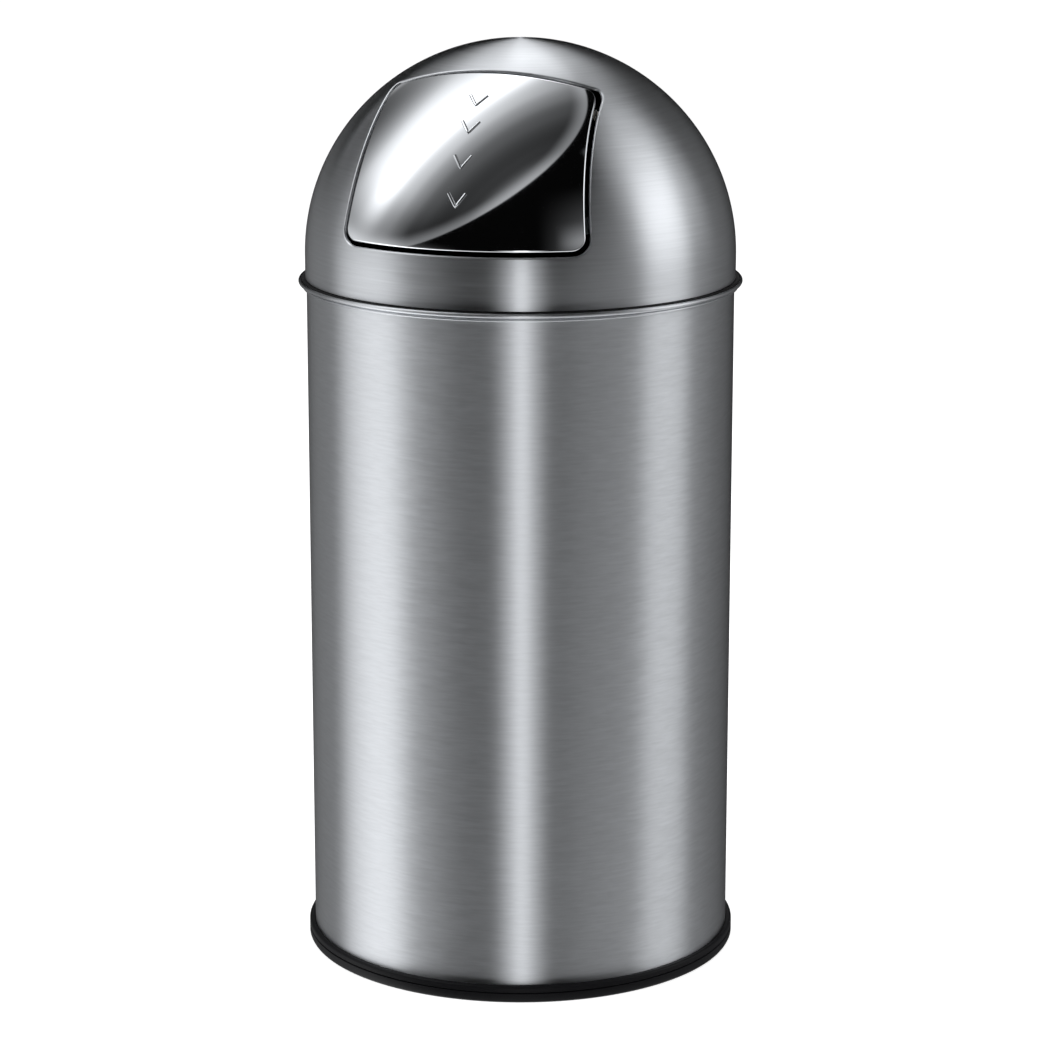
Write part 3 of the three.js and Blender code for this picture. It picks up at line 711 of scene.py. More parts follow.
class SheetRim:
    """A closed line on the dome, from which a sheet is drawn out ring by ring."""

    def __init__(self, outline: Sequence[Point], proud: float = 0.0) -> None:
        """Find the frame at every station of the line.

        Args:
            outline: the line as (x, z) points, anticlockwise from the front.
            proud: how far the line stands out of the dome.
        """
        self.points = [DOME.front(x, z, proud) for x, z in outline]
        self.normals = [DOME.normal(p) for p in self.points]
        count = len(self.points)
        self.sides = []
        for i, normal in enumerate(self.normals):
            run = self.points[(i + 1) % count] - self.points[i - 1]
            self.sides.append(run.cross(normal).normalized())
        self.bm = bmesh.new()
        self.station = self.bm.verts.layers.int.new("station")

    def at(self, side: float, out: float) -> Place:
        """Return where each station lies, `side` away from the middle and `out` of the sheet."""
        return lambda i: self.points[i] + self.sides[i] * side + self.normals[i] * out

    def ring(self, place: Place) -> list[BMEdge]:
        """Start with a ring of edges.

        Args:
            place: where each station lies.

        Returns:
            The edges.
        """
        verts = []
        for i in range(len(self.points)):
            vert = self.bm.verts.new(place(i))
            vert[self.station] = i
            verts.append(vert)
        return [self.bm.edges.new(pair) for pair in zip(verts, verts[1:] + verts[:1])]

    def draw(self, edges: Sequence[BMEdge], place: Place) -> list[BMEdge]:
        """Extrude a ring of edges to a new place.

        Args:
            edges: the ring.
            place: where each station of the new ring lies.

        Returns:
            The new ring.
        """
        made = bmesh.ops.extrude_edge_only(self.bm, edges=edges)["geom"]
        verts = {g for g in made if isinstance(g, BMVert)}
        for vert in verts:
            vert.co = place(vert[self.station])
        return [g for g in made if isinstance(g, BMEdge) and set(g.verts) <= verts]

    def fold(self, edges: Sequence[BMEdge], away: int, depth: float) -> None:
        """Turn the sheet inwards round the line.

        Args:
            edges: the ring where the fold begins.
            away: 1 if the sheet lies outside the line, and -1 if inside.
            depth: how far the turned-in flange reaches.
        """
        steps, hem = 6, 0.2  # the last strip keeps the flange's end crisp
        for k in range(1, steps + 1):
            a = math.pi / 2 * k / steps
            side = away * DOME.fold * (1 - math.sin(a))
            edges = self.draw(edges, self.at(side, DOME.fold * (math.cos(a) - 1)))
        edges = self.draw(edges, self.at(0, -depth + hem))
        self.draw(edges, self.at(0, -depth))

    def thickened(self) -> BMesh:
        """Give the drawn surface its thickness on the inside.

        Returns:
            The closed sheet.
        """
        bmesh.ops.recalc_face_normals(self.bm, faces=self.bm.faces)
        facing = sum(f.normal.dot(DOME.normal(f.calc_center_median())) for f in self.bm.faces)
        if facing < 0:
            bmesh.ops.reverse_faces(self.bm, faces=self.bm.faces)
        return with_modifier(
            self.bm, "SOLIDIFY", thickness=DOME.sheet, offset=-1.0, use_even_offset=True
        )


def true_normals(piece: bpy.types.Object, proud: float = 0.0) -> None:
    """Give the outer face of a dome sheet the exact curve's normals.

    Args:
        piece: the finished piece, in metres.
        proud: how far that face stands out of the dome.
    """
    near = 0.12  # millimetres between a face and the curve it follows
    aligned = math.cos(math.radians(2.5))
    mesh = piece.data
    normals = [Vector(n.vector) for n in mesh.corner_normals]
    places = [v.co / MM for v in mesh.vertices]
    for face in mesh.polygons:
        middle = face.center / MM
        if middle.z < DOME.centre_z or abs(DOME.depth(middle) + proud) > near:
            continue
        if face.normal.dot(DOME.normal(middle)) < aligned:
            continue
        for corner in face.loop_indices:
            normals[corner] = DOME.normal(places[mesh.loops[corner].vertex_index])
    mesh.normals_split_custom_set(normals)


# ---------------------------------------------------------------- body


@dataclass
class Body:
    """The standing cylinder with its hemmed mouth, foot ring and floor."""

    radius: float = 171
    sheet: float = 0.8
    bottom_z: float = 4
    top_z: float = 550.6
    cove: float = 3.6
    rim_radius: float = 177.5
    lip_height: float = 3.5
    lip_thickness: float = 2
    bead: float = 1.1  # radius of the bead rolled under the lip
    bead_reach: float = 3.5
    bead_drop: float = 2
    ring_radius: float = 175.8
    ring_height: float = 13.4
    ring_wall: float = 2.6  # of its inner wall, behind the body's sheet
    seat_z: float = 3.7  # where the body stands in it
    plate_z: float = 24
    clearance: float = 0.3

    def wall(self) -> BMesh:
        """Turn the straight wall with the bead and the rolled hem of its mouth.

        Returns:
            The closed sheet.
        """
        hem_z = self.top_z - self.lip_height
        cove_z = hem_z - self.cove
        half = self.lip_height / 2
        hem = (self.rim_radius - half, hem_z + half)
        bead = (self.radius + self.bead_reach - self.bead, hem_z - self.bead_drop)
        flare = (self.radius + self.cove, cove_z)
        bore = self.rim_radius - self.lip_thickness
        return turned(
            [
                (self.radius - self.sheet, self.bottom_z),
                (self.radius, self.bottom_z),
                *arc((self.radius + 0.5, cove_z), 0.5, 180, 110, 5),
                *arc(bead, self.bead, -90, 60, 10),
                *arc((bead[0] + 0.35, hem_z - 0.45), 0.45, 210, 90, 7),
                *arc(hem, half, -90, 80, 16),
                (bore + 0.3, self.top_z - 0.05),
                (bore, self.top_z - 0.35),
                (bore, cove_z + self.cove + self.sheet),
                *arc(flare, self.cove + self.sheet, 90, 180, 12),
            ]
        )

    def ring(self) -> BMesh:
        """Turn the moulded foot ring with its groove.

        Returns:
            The ring, flat on the floor.
        """
        r, top, seat = self.ring_radius, self.ring_height, self.seat_z
        inner, outer = self.radius - self.sheet - self.clearance, self.radius + self.clearance
        back, back_z, edge = inner - self.ring_wall, 12.7, 0.3
        groove_z, groove, groove_depth = 8, 0.55, 1.4
        return turned(
            [
                (back, edge),
                (back + edge, 0),
                *arc((r - 2, 1.6), 1.6, -90, -30, 5),
                (r, 2),
                (r, groove_z - groove - 0.2),
                (r - 0.2, groove_z - groove),
                (r - groove_depth, groove_z - 0.2),
                (r - groove_depth, groove_z + 0.2),
                (r - 0.2, groove_z + groove),
                (r, groove_z + groove + 0.2),
                *arc((r - 1.8, top - 1.8), 1.8, 0, 90, 9),
                (outer + edge, top),
                (outer, top - edge),
                (outer, seat),
                (inner, seat),
                (inner, back_z - edge),
                (inner - edge, back_z),
                (back + edge, back_z),
                (back, back_z - edge),
            ]
        )

    def plate(self) -> BMesh:
        """Turn the pressed floor with its stiffening groove and turned-down flange.

        Returns:
            The closed sheet.
        """
        top, edge, bend = self.plate_z, self.radius - self.sheet - self.clearance, 3
        flange_z, groove_radius = top - 11, 118
        half = [(-8, 0), (-5.5, 0.5), (-3, 1.9), (-1, 2.2)]  # across the groove and down
        groove = half + [(-across, down) for across, down in reversed(half)]

        def face(inset: float) -> list[Point]:
            """Draw one face of the sheet.

            Args:
                inset: how far it lies under the sheet's top.

            Returns:
                Its points, from the axis to the flange.
            """
            pressed = [(groove_radius + x, top - down - inset) for x, down in groove]
            corner = arc((edge - bend, top - bend), bend - inset, 90, 0, 8)
            return [(0.0, top - inset), *pressed, *corner, (edge - inset, flange_z)]

        return turned([*face(0), *reversed(face(self.sheet))], closed=False)

    def build(self, shop: Workshop) -> None:
        """Make and dress the body's pieces.

        Args:
            shop: what finishes and places them.
        """
        shop.add(self.wall(), "body_wall", "body", Slot.BODY, ["body_shell"])
        shop.add(self.ring(), "foot_ring", "body", Slot.RING, ["base_ring"])
        shop.add(self.plate(), "floor_pan", "body", Slot.ZINC, ["base_plate"])


# ---------------------------------------------------------------- lid


@dataclass
class Lid:
    """The dome with its opening, its locating collar and the flap's hinge."""

    rod_y: float = -60
    rod_z: float = 688
    rod_radius: float = 2.5
    rod_half: float = 96.5
    ear_x: float = 75.5  # outer face of the flap's ears
    bracket_x: float = 92
    clip_x: float = 94.3
    spring_radius: float = 5.3
    spring_wire: float = 0.7
    coils: float = 5.15
    leg: float = 9
    start_angle: float = 315
    clearance: float = 0.3
    flange: float = 2.3  # how far the opening's edge is turned in
    opening: Edge = Edge(592.5, 722, 100, (11, 11))

    def dome(self) -> BMesh:
        """Turn the dome's sheet, cut it and turn it in round the opening.

        Returns:
            The shell and the turned-in edge in one mesh.
        """
        d, steps, edge = DOME, 84, 0.2
        angles = [math.pi / 2 * i / steps for i in range(steps)]

        def curve(inset: float) -> list[Point]:
            """Draw the curve up to the pole.

            Args:
                inset: how far it lies under the dome's outside.

            Returns:
                Its points, lowest first.
            """
            r, h = d.radius - inset, d.height - inset
            side = [(r * math.cos(a), d.centre_z + h * math.sin(a)) for a in angles]
            return [*side, (0.0, d.centre_z + h)]

        outer = [(d.radius - edge, d.edge_z), (d.radius, d.edge_z + edge), *curve(0)]
        inner = [(d.radius - d.sheet, d.edge_z), *curve(d.sheet)]
        shell = turned([*outer, *reversed(inner)], 288)
        rim = SheetRim(self.opening.outline())
        cut = self.punched(shell, rim)
        lap, lift = 0.15, 0.004  # of the strip over the shell, so that no seam shows
        edges = rim.ring(rim.at(d.fold + lap, lift))
        rim.fold(rim.draw(edges, rim.at(d.fold, 0)), 1, self.flange)
        return join(cut, rim.thickened())

    def punched(self, shell: BMesh, rim: SheetRim) -> BMesh:
        """Cut the opening out of the shell, where the turned-in edge begins.

        Args:
            shell: the closed shell, which is freed.
            rim: the opening's edge.

        Returns:
            The shell with its hole.
        """
        place = rim.at(DOME.fold, 0)
        punch = bmesh.new()
        verts = []
        for i in range(len(rim.points)):
            x, _, z = place(i)
            verts.append(punch.verts.new((x, -10, z)))
        face = punch.faces.new(verts)
        made = bmesh.ops.extrude_face_region(punch, geom=[face])["geom"]
        far = [g for g in made if isinstance(g, BMVert)]
        bmesh.ops.translate(punch, vec=(0, -200, 0), verts=far)
        bmesh.ops.recalc_face_normals(punch, faces=punch.faces)
        tool = as_object(punch, "punch", 1.0)
        cut = with_modifier(shell, "BOOLEAN", operation="DIFFERENCE", solver="EXACT", object=tool)
        bpy.data.objects.remove(tool)
        return cut

    def collar(self) -> BMesh:
        """Turn the moulded collar that sets the dome in the body's mouth; its black flange in the
        trough under the dome's edge is also painted shade for that gap.

        Returns:
            The collar with its flange, skirt and upstand.
        """
        outer, upstand, trough, top = 169.9, 170.9, 547.9, 551.2
        low, high, edge = 527.9, 560.2, 0.4
        inner = outer - 2
        return turned(
            [
                (inner, low + edge),
                (inner + edge, low),
                (outer - 2 * edge, low),
                (outer, low + 4 * edge),
                *arc((174.6, 543.5), 4.7, 180, 90, 10),
                # this flange fills the trough under the dome's edge: a real moulding whose black
                # also serves as painted shade for the gap
                (175.2, trough + 0.3),
                *arc((174.7, top - 0.5), 0.5, 0, 90, 4),
                (upstand, top),
                (upstand, high - edge),
                (upstand - edge, high),
                (inner + edge, high),
                (inner, high - edge),
            ]
        )

    def rod(self) -> BMesh:
        """Return the axle with chamfered ends."""
        profile = chamfered(0, self.rod_radius, -self.rod_half, self.rod_half, 0.5)
        return laid_along_x(turned(profile, 40, closed=False), 0, self.rod_y, self.rod_z)

    def clip(self) -> BMesh:
        """Turn a dished push-on clip.

        Returns:
            The clip at +X, on the rod.
        """
        bore, rim = self.rod_radius + self.clearance, self.rod_radius + 2.8
        disc = turned(
            [(bore, 0.35), (bore + 0.7, 0.15), (rim - 0.6, 0), (rim, 0.1), (rim, 0.6),
             (rim - 0.6, 0.62), (bore + 0.9, 0.75), (bore, 0.98)], 48,
        )
        return laid_along_x(disc, self.clip_x, self.rod_y, self.rod_z)

    def bush(self) -> BMesh:
        """Turn the nylon tube between ear and bracket.

        Returns:
            The tube at +X, on the rod.
        """
        gap, wall = self.clearance, 1.2
        bore = self.rod_radius + gap
        profile = chamfered(bore, bore + wall, self.ear_x + gap, self.bracket_x - gap, 0.25)
        return laid_along_x(turned(profile, 40), 0, self.rod_y, self.rod_z)

    def spring(self) -> BMesh:
        """Wind the torsion spring with its two legs.

        Returns:
            The spring at +X, round its tube.
        """
        r, seat = self.spring_radius, self.clearance + self.spring_wire
        low, high = self.ear_x + seat, self.bracket_x - seat
        first = math.radians(self.start_angle)
        turn = math.tau * self.coils
        steps = round(self.coils * 32)

        def place(angle: float, past: float) -> Vector:
            """Find the wire's place at an angle.

            Args:
                angle: the angle round the tube, in radians.
                past: how far past that on the tangent.

            Returns:
                The place.
            """
            share = (angle - first) / turn
            y = r * math.cos(angle) - past * math.sin(angle)
            z = r * math.sin(angle) + past * math.cos(angle)
            return Vector((low + (high - low) * share, self.rod_y + y, self.rod_z + z))

        coil = [place(first + turn * i / steps, 0) for i in range(steps + 1)]
        path = [place(first, -self.leg), *coil, place(first + turn, self.leg)]
        return wire(path, self.spring_wire, 3)

    def build(self, shop: Workshop, nodes: dict[str, bpy.types.Object]) -> None:
        """Make and dress the lid's pieces.

        Args:
            shop: what finishes and places them.
            nodes: the frame's nodes.
        """
        dome = shop.add(self.dome(), "dome_sheet", "lid", Slot.DOME, ["dome_shell"])
        true_normals(dome)
        shop.add(self.collar(), "collar_moulding", "lid", Slot.COLLAR, ["lid_collar"])
        shop.add(self.rod(), "axle_rod", "lid", Slot.ROD, ["hinge_rod"])
        pairs = (
            (self.clip(), "push_clip", Slot.SPRING, "rod_clip"),
            (self.bush(), "bush_tube", Slot.NYLON, "spacer_bush"),
            (self.spring(), "torsion_spring", Slot.SPRING, "return_spring"),
        )
        for right, name, slot, node in pairs:
            sprung = name == "torsion_spring"
            for side, bm in both_sides(right):
                body = "" if sprung else "lid"
                piece = shop.add(bm, name + side, body, slot, [node + side])
                if sprung:
                    self.wind(piece, 1 if side == "_right" else -1)
        shop.dress(nodes, Slot.ZINC, "hinge_bracket_right", "hinge_bracket_left")

    def wind(self, spring: bpy.types.Object, side: int) -> None:
        """Bake a spring's place into its mesh; its ends at the lid's bracket and the flap's ear are
        worked out but not used.

        Args:
            spring: the piece.
            side: 1 at +X and -1 at -X.
        """
        leg = 1.5  # of its length at each end
        ends = [self.bracket_x - leg, self.ear_x + leg]
        start, end = ((side * x * MM, self.rod_y * MM, self.rod_z * MM) for x in ends)
        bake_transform(spring)
        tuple(start)
        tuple(end)


# ---------------------------------------------------------------- flap


@dataclass
class Flap:
    """The polished push flap, which follows the dome's curve."""

    edge: Edge = Edge(596, 720.3, 96.45, (9, 15))
    proud: float = 0.8
    flange: float = 8
    rings: int = 40
    centre: Point = (0.0, 655.0)
    chevrons: tuple[float, ...] = (702, 684, 660, 633)  # heights of their middles

    def panel(self) -> BMesh:
        """Draw the curved sheet with its turned-in edge.

        Returns:
            The closed sheet.
        """
        rim = SheetRim(self.edge.outline(), self.proud)
        start = rim.at(-DOME.fold, 0)
        edges = rim.ring(start)
        rim.fold(edges, -1, self.flange)

        def shrunk(share: float) -> Place:
            """Lay the stations on a smaller copy of the edge.

            Args:
                share: the copy's size over the edge's.

            Returns:
                What gives a station's place on it.
            """

            def place(i: int) -> Vector:
                """Find where a station lies, on the curve.

                Args:
                    i: the station's number.

                Returns:
                    The place.
                """
                p = start(i)
                x = self.centre[0] + (p.x - self.centre[0]) * share
                z = self.centre[1] + (p.z - self.centre[1]) * share
                return DOME.front(x, z, self.proud)

            return place

        for k in range(1, self.rings):
            edges = rim.draw(edges, shrunk(1 - k / self.rings))
        last = rim.draw(edges, shrunk(0.001))
        verts = list({v for e in last for v in e.verts})
        middle = DOME.front(*self.centre, self.proud)
        bmesh.ops.pointmerge(rim.bm, verts=verts, merge_co=middle)
        return rim.thickened()

    def chevron(self, z: float) -> BMesh:
        """Return one pressed chevron that points to the lower edge.

        Args:
            z: height of its middle.

        Returns:
            Its half sunk ridge.
        """
        half, rise, radius, sunk, steps = 6.8, 10.5, 1.4, 0.45, 8
        lift = math.hypot(*DOME.normal(DOME.front(0, z)).xy)  # height gained per length of curve
        ends = ((-half, rise / 2), (0.0, -rise / 2), (half, rise / 2))
        path = []
        for (x, s), (u, t) in pairwise(ends):
            for k in range(steps + 1):
                share = k / steps
                height = z + (s + (t - s) * share) * lift
                path.append(DOME.front(x + (u - x) * share, height, self.proud - sunk))
        del path[steps + 1]  # the point at the tip, which both arms have
        return wire(path, radius, 4)

    def build(self, shop: Workshop, nodes: dict[str, bpy.types.Object]) -> None:
        """Make and dress the flap's pieces.

        Args:
            shop: what finishes and places them.
            nodes: the frame's nodes.
        """
        panel = shop.add(self.panel(), "flap_sheet", "flap", Slot.FLAP, ["flap_panel"])
        true_normals(panel, self.proud)
        marks = join(*[self.chevron(z) for z in self.chevrons])
        shop.add(marks, "flap_chevrons", "flap", Slot.FLAP, [])
        shop.dress(
            nodes, Slot.ZINC, "flap_ear_right", "flap_ear_left", "stop_tab_right", "stop_tab_left"
        )
        shop.dress(nodes, Slot.RUBBER, "stop_buffer_right", "stop_buffer_left")


# ---------------------------------------------------------------- bucket and bail


@dataclass
class Bucket:
    """The lift-out bucket with its bail."""

    foot_z: float = 24.3
    top_z: float = 515
    foot_radius: float = 154.9
    top_radius: float = 159.9
    sheet: float = 0.8
    bead: float = 3
    rivet_z: float = 492
    rivet_y: float = 7
    bail_z: float = 519.8
    bail_radius: float = 162.9
    wire_radius: float = 2
    bend: float = 5
    grip_half: float = 48
    chord_half: float = 53
    hook_x: float = 150.6
    clearance: float = 0.3

    def radius_at(self, z: float) -> float:
        """Return the wall's outer radius at a height."""
        share = (z - self.foot_z) / (self.top_z - self.foot_z)
        return self.foot_radius + (self.top_radius - self.foot_radius) * share

    def wall(self) -> BMesh:
        """Turn the tapered wall with its rolled rim.

        Returns:
            The closed sheet.
        """
        bead, top = self.bead, self.top_z
        edge = self.radius_at(top - 2 * bead)
        return turned(
            [
                (self.foot_radius - self.sheet, self.foot_z),
                (self.foot_radius, self.foot_z),
                (edge, top - 2 * bead),
                *arc((edge + bead, top - bead), bead, -135, 135, 26),
                (edge, top - self.sheet),
                (edge - self.sheet, top - self.sheet - 1),
            ]
        )

    def bottom(self) -> BMesh:
        """Turn the pressed bottom with its foot.

        Returns:
            The closed sheet.
        """
        edge, z, t = self.foot_radius - self.sheet - self.clearance, self.foot_z, self.sheet
        raised = z + 6
        lower = [(0.0, raised), (edge - 7.9, raised), (edge - 7.3, raised - 0.6)]
        lower += [(edge - 5.2, z + 0.4), (edge - 4.7, z), (edge, z)]
        upper = [(edge, z + 2 * t), (edge - 4.2, z + t), (edge - 6.6, raised + 0.3)]
        upper += [(edge - 7.2, raised + t), (0.0, raised + t)]
        return turned([*lower, *upper], closed=False)

    def rivet(self) -> BMesh:
        """Turn a rivet with a dome on the inside and a flat head outside.

        Returns:
            The rivet, upright at the axis, as far out as it sits.
        """
        face, out, head, stem, rise = 155.76, 159.97, 4.2, 2.4, 1.6
        return turned(
            [
                (0, face - rise), (1.6, face - 1.5), (3.0, face - 1.1), (3.9, face - 0.5),
                (head, face), (stem, face), (stem, out), (head, out), (head, out + 0.6),
                (3.4, out + 1.3), (2.0, out + rise), (0, out + rise),
            ],
            32,
            closed=False,
        )

    def bail_path(self) -> list[Vector]:
        """Draw the bail's centre line, folded round the back of the rim.

        Returns:
            Its points, from the ear at +X to the ear at -X.
        """
        r, b = self.bail_radius, self.bend
        turn = math.asin(b / (r - b))
        corner = (r - b) * math.cos(turn)
        flat = math.asin(self.chord_half / r)
        half = [Vector((self.hook_x, 0)), Vector((corner, 0))]
        joint = Vector((r * math.cos(turn), r * math.sin(turn)))
        bend_steps, rim_steps = 8, 48
        for t in (k / bend_steps for k in range(1, bend_steps + 1)):
            half.append(half[1] * (1 - t) ** 2 + Vector((r, 0)) * 2 * t * (1 - t) + joint * t * t)
        for k in range(1, rim_steps + 1):
            a = turn + (math.pi / 2 - flat - turn) * k / rim_steps
            half.append(Vector((r * math.cos(a), r * math.sin(a))))
        path = [(p.x, p.y, self.bail_z) for p in half]
        return [Vector(p) for p in path] + [Vector((-x, y, z)) for x, y, z in reversed(path)]

    def grip(self) -> BMesh:
        """Turn the plastic tube with rounded ends and finger rings.

        Returns:
            The tube, on the straight stretch of the bail.
        """
        bore, rim, half = self.wire_radius + self.clearance, 4.5, self.grip_half
        floor, pitch = rim - 0.35, 7.6  # of the finger rings
        profile = [(bore, -half), *arc((rim - 1, -half + 1), 1, -90, 0, 5)]
        for z in (k * pitch for k in range(-5, 6)):
            profile += [(rim, z - 0.9), (floor, z - 0.4), (floor, z + 0.4), (rim, z + 0.9)]
        profile += [*arc((rim - 1, half - 1), 1, 0, 90, 5), (bore, half)]
        y = math.sqrt(self.bail_radius**2 - self.chord_half**2)
        return laid_along_x(turned(profile, 48), 0, y, self.bail_z)

    def build(self, shop: Workshop, nodes: dict[str, bpy.types.Object]) -> None:
        """Make and dress the bucket's and the bail's pieces.

        Args:
            shop: what finishes and places them.
            nodes: the frame's nodes.
        """
        shop.add(self.wall(), "bucket_wall", "bucket", Slot.BUCKET, ["liner_wall"])
        shop.add(self.bottom(), "bucket_bottom", "bucket", Slot.BUCKET, ["liner_base"])
        shop.dress(nodes, Slot.BUCKET, "liner_ear_right", "liner_ear_left")
        for row, y in (("front", -self.rivet_y), ("back", self.rivet_y)):
            right = laid_along_x(self.rivet(), 0, y, self.rivet_z)
            for side, bm in both_sides(right):
                node = f"ear_rivet_{row}{side}"
                shop.add(bm, f"domed_rivet_{row}{side}", "bucket", Slot.RIVET, [node])
        handle = wire(self.bail_path(), self.wire_radius, 6)
        shop.add(handle, "carry_wire", "bail", Slot.BAIL, ["bail_wire"])
        shop.add(self.grip(), "wire_grip", "bail", Slot.GRIP, ["bail_grip"])


# ---------------------------------------------------------------- studio


def toward(azimuth: float, rise: float = 0.0) -> Vector:
    """Return the unit vector at an azimuth, as `Panel` measures it, and a height in degrees."""
    a, e = math.radians(azimuth), math.radians(rise)
    return Vector((math.sin(a) * math.cos(e), -math.cos(a) * math.cos(e), math.sin(e)))


@dataclass(frozen=True)
class Panel:
    """A soft light or card that only the metal sees, at a direction from the object.

    Azimuth 0 is in front of the flap and 90 to its right. Each edge fades from full to none
    between two angles.
    """

    azimuth: float
    strength: float
    half_width: tuple[float, float]
    bottom: tuple[float, float] = (-91.0, -90.0)
    top: tuple[float, float] = (90.0, 91.0)


@dataclass
class Studio:
    """Camera, floor, lamps and what the metal reflects."""

    camera_azimuth: float = 17.5
    camera_distance: float = 2.722
    camera_height: float = 1.004
    camera_pitch: float = 13.53
    focal_pixels: float = 3439
    picture_pixels: float = 1041
    sensor: float = 36
    room_radius: float = 12
    room_height: float = 0.45  # of the room's middle, which is near the object's
    room_level: float = 0.002
    ground_level: float = 1.12  # the pale floor under the object
    ground_fade: tuple[float, float] = (-38, -46)  # degrees, from none of it to all
    lamp_reach: float = 2.2
    lamp_aim: float = 0.35  # height that the lamps point at

    def panels(self) -> list[Panel]:
        """Return the panels round the object.

        Their angles and strengths are a least-squares fit to how bright the photograph's metal
        is, rounded, so they were not chosen by hand.

        Returns:
            The panels, in no order that matters.
        """
        return [
            Panel(-73, 1.8, (0, 30), top=(-53, 26)),
            Panel(-86, 0.31, (20, 76), top=(1, 12)),
            Panel(18, 0.82, (0, 15), top=(3, 9)),
            Panel(18, 2.5, (0, 5), bottom=(-24, -8), top=(4, 9)),
            Panel(102, 1.62, (0, 21), bottom=(-44, 33), top=(28, 32)),
            Panel(109, 0.96, (1, 38), bottom=(-10, 25), top=(54, 58)),
            Panel(109, 0.23, (15, 84), top=(7, 43)),
            Panel(60, 0.27, (0, 25), bottom=(5, 15), top=(11, 25)),
            Panel(190, 3.3, (6, 17), bottom=(22, 65), top=(55, 62)),
        ]

    def add_camera(self) -> None:
        """Set the camera at the photograph's viewing angle."""
        data = bpy.data.cameras.new("camera")
        data.sensor_width = self.sensor
        data.lens = self.focal_pixels * self.sensor / self.picture_pixels
        camera = bpy.data.objects.new("camera", data)
        a = math.radians(self.camera_azimuth)
        reach = self.camera_distance
        camera.location = (reach * math.sin(a), -reach * math.cos(a), self.camera_height)
        tilt = math.radians(90 - self.camera_pitch)
        camera.rotation_euler = (tilt, 0, a)
        bpy.context.scene.collection.objects.link(camera)
        bpy.context.scene.camera = camera

    def seen_by_eye(self, tree: bpy.types.NodeTree) -> bpy.types.NodeSocket:
        """Tell the rays that an eye sees from those that carry soft light.

        Args:
            tree: the node tree it goes into.

        Returns:
            1 for camera, glossy and transmission rays, and 0 for the rest.
        """
        rays = add_node(tree, "LightPath").outputs
        first = {0: rays["Is Camera Ray"], 1: rays["Is Glossy Ray"]}
        both = add_node(tree, "Math", first, operation="ADD").outputs[0]
        last = {0: both, 1: rays["Is Transmission Ray"]}
        return add_node(tree, "Math", last, operation="ADD", use_clamp=True).outputs[0]

    def add_world(self) -> None:
        """Make the background white and the fill light plain."""
        world = bpy.data.worlds.new("white")
        bpy.context.scene.world = world
        world.cycles.sampling_method = "NONE"
        tree = blank_tree(world)
        seen = {"Value": self.seen_by_eye(tree), "To Min": 0.5, "To Max": 1.0}
        level = add_node(tree, "MapRange", seen).outputs[0]
        sky = add_node(tree, "Background", {"Color": (1, 1, 1, 1), "Strength": level})
        add_node(tree, "OutputWorld", {"Surface": sky.outputs[0]})

    def add_floor(self) -> None:
        """Lay a plain pale floor that keeps the object's shadow."""
        bm = bmesh.new()
        bmesh.ops.create_circle(bm, cap_ends=True, segments=64, radius=self.room_radius)
        floor = as_object(bm, "floor", 1.0)
        material = bpy.data.materials.new("pale_floor")
        tree = blank_tree(material)
        plain = add_node(tree, "BsdfDiffuse", {"Color": (0.82, 0.82, 0.82, 1)})
        seen = {"Value": self.seen_by_eye(tree), "To Max": 0.62}
        level = add_node(tree, "MapRange", seen).outputs[0]
        glow = add_node(tree, "Emission", {"Color": (1, 1, 1, 1), "Strength": level})
        both = add_node(tree, "AddShader", {0: plain.outputs[0], 1: glow.outputs[0]})
        add_node(tree, "OutputMaterial", {"Surface": both.outputs[0]})
        floor.data.materials.append(material)
        floor.visible_glossy = False

    def fade(
        self, tree: bpy.types.NodeTree, value: bpy.types.NodeSocket, none: float, full: float
    ) -> bpy.types.NodeSocket:
        """Return 0 where the value is at `none` and 1 at `full`, with a smooth run between."""
        inputs = {"Value": value, "From Min": none, "From Max": full}
        return add_node(tree, "MapRange", inputs, interpolation_type="SMOOTHSTEP").outputs[0]

    def rise_fade(
        self, tree: bpy.types.NodeTree, height: bpy.types.NodeSocket, none: float, full: float
    ) -> bpy.types.NodeSocket:
        """Return what `fade` does, for the height of a direction and ends in degrees."""
        return self.fade(tree, height, *(math.sin(math.radians(e)) for e in (none, full)))

    def panel_light(
        self, tree: bpy.types.NodeTree, panel: Panel, sight: bpy.types.NodeSocket
    ) -> bpy.types.NodeSocket:
        """Return one panel's strength in the direction `sight`.

        Args:
            tree: the room's node tree.
            panel: the panel.
            sight: unit vector from the object.

        Returns:
            The output that carries it.
        """
        flat = add_node(tree, "VectorMath", {0: sight, 1: (1, 1, 0)}, operation="MULTIPLY")
        level = add_node(tree, "VectorMath", {0: flat.outputs[0]}, operation="NORMALIZE")
        turn = {0: level.outputs[0], 1: toward(panel.azimuth)}
        aim = add_node(tree, "VectorMath", turn, operation="DOT_PRODUCT").outputs["Value"]
        inner, outer = (math.cos(math.radians(w)) for w in panel.half_width)
        height = add_node(tree, "SeparateXYZ", {0: sight}).outputs["Z"]
        masks = [self.fade(tree, aim, outer, inner)]
        for none, full in (panel.bottom, reversed(panel.top)):
            if -90 < full < 90:
                masks.append(self.rise_fade(tree, height, none, full))
        light: object = panel.strength
        for mask in masks:
            light = add_node(tree, "Math", {0: light, 1: mask}, operation="MULTIPLY").outputs[0]
        return light

    def soft_box(
        self, tree: bpy.types.NodeTree, sight: bpy.types.NodeSocket
    ) -> bpy.types.NodeSocket:
        """Return the strength of the big soft box overhead that the flap mirrors.

        It has a sharp round rim with a faint glow inside it, and it is brightest in a ring about
        a point low down. Its aim, its rim and the ramp's stops come from the same fit as the
        panels.

        Args:
            tree: the room's node tree.
            sight: unit vector from the object.

        Returns:
            The output that carries it.
        """

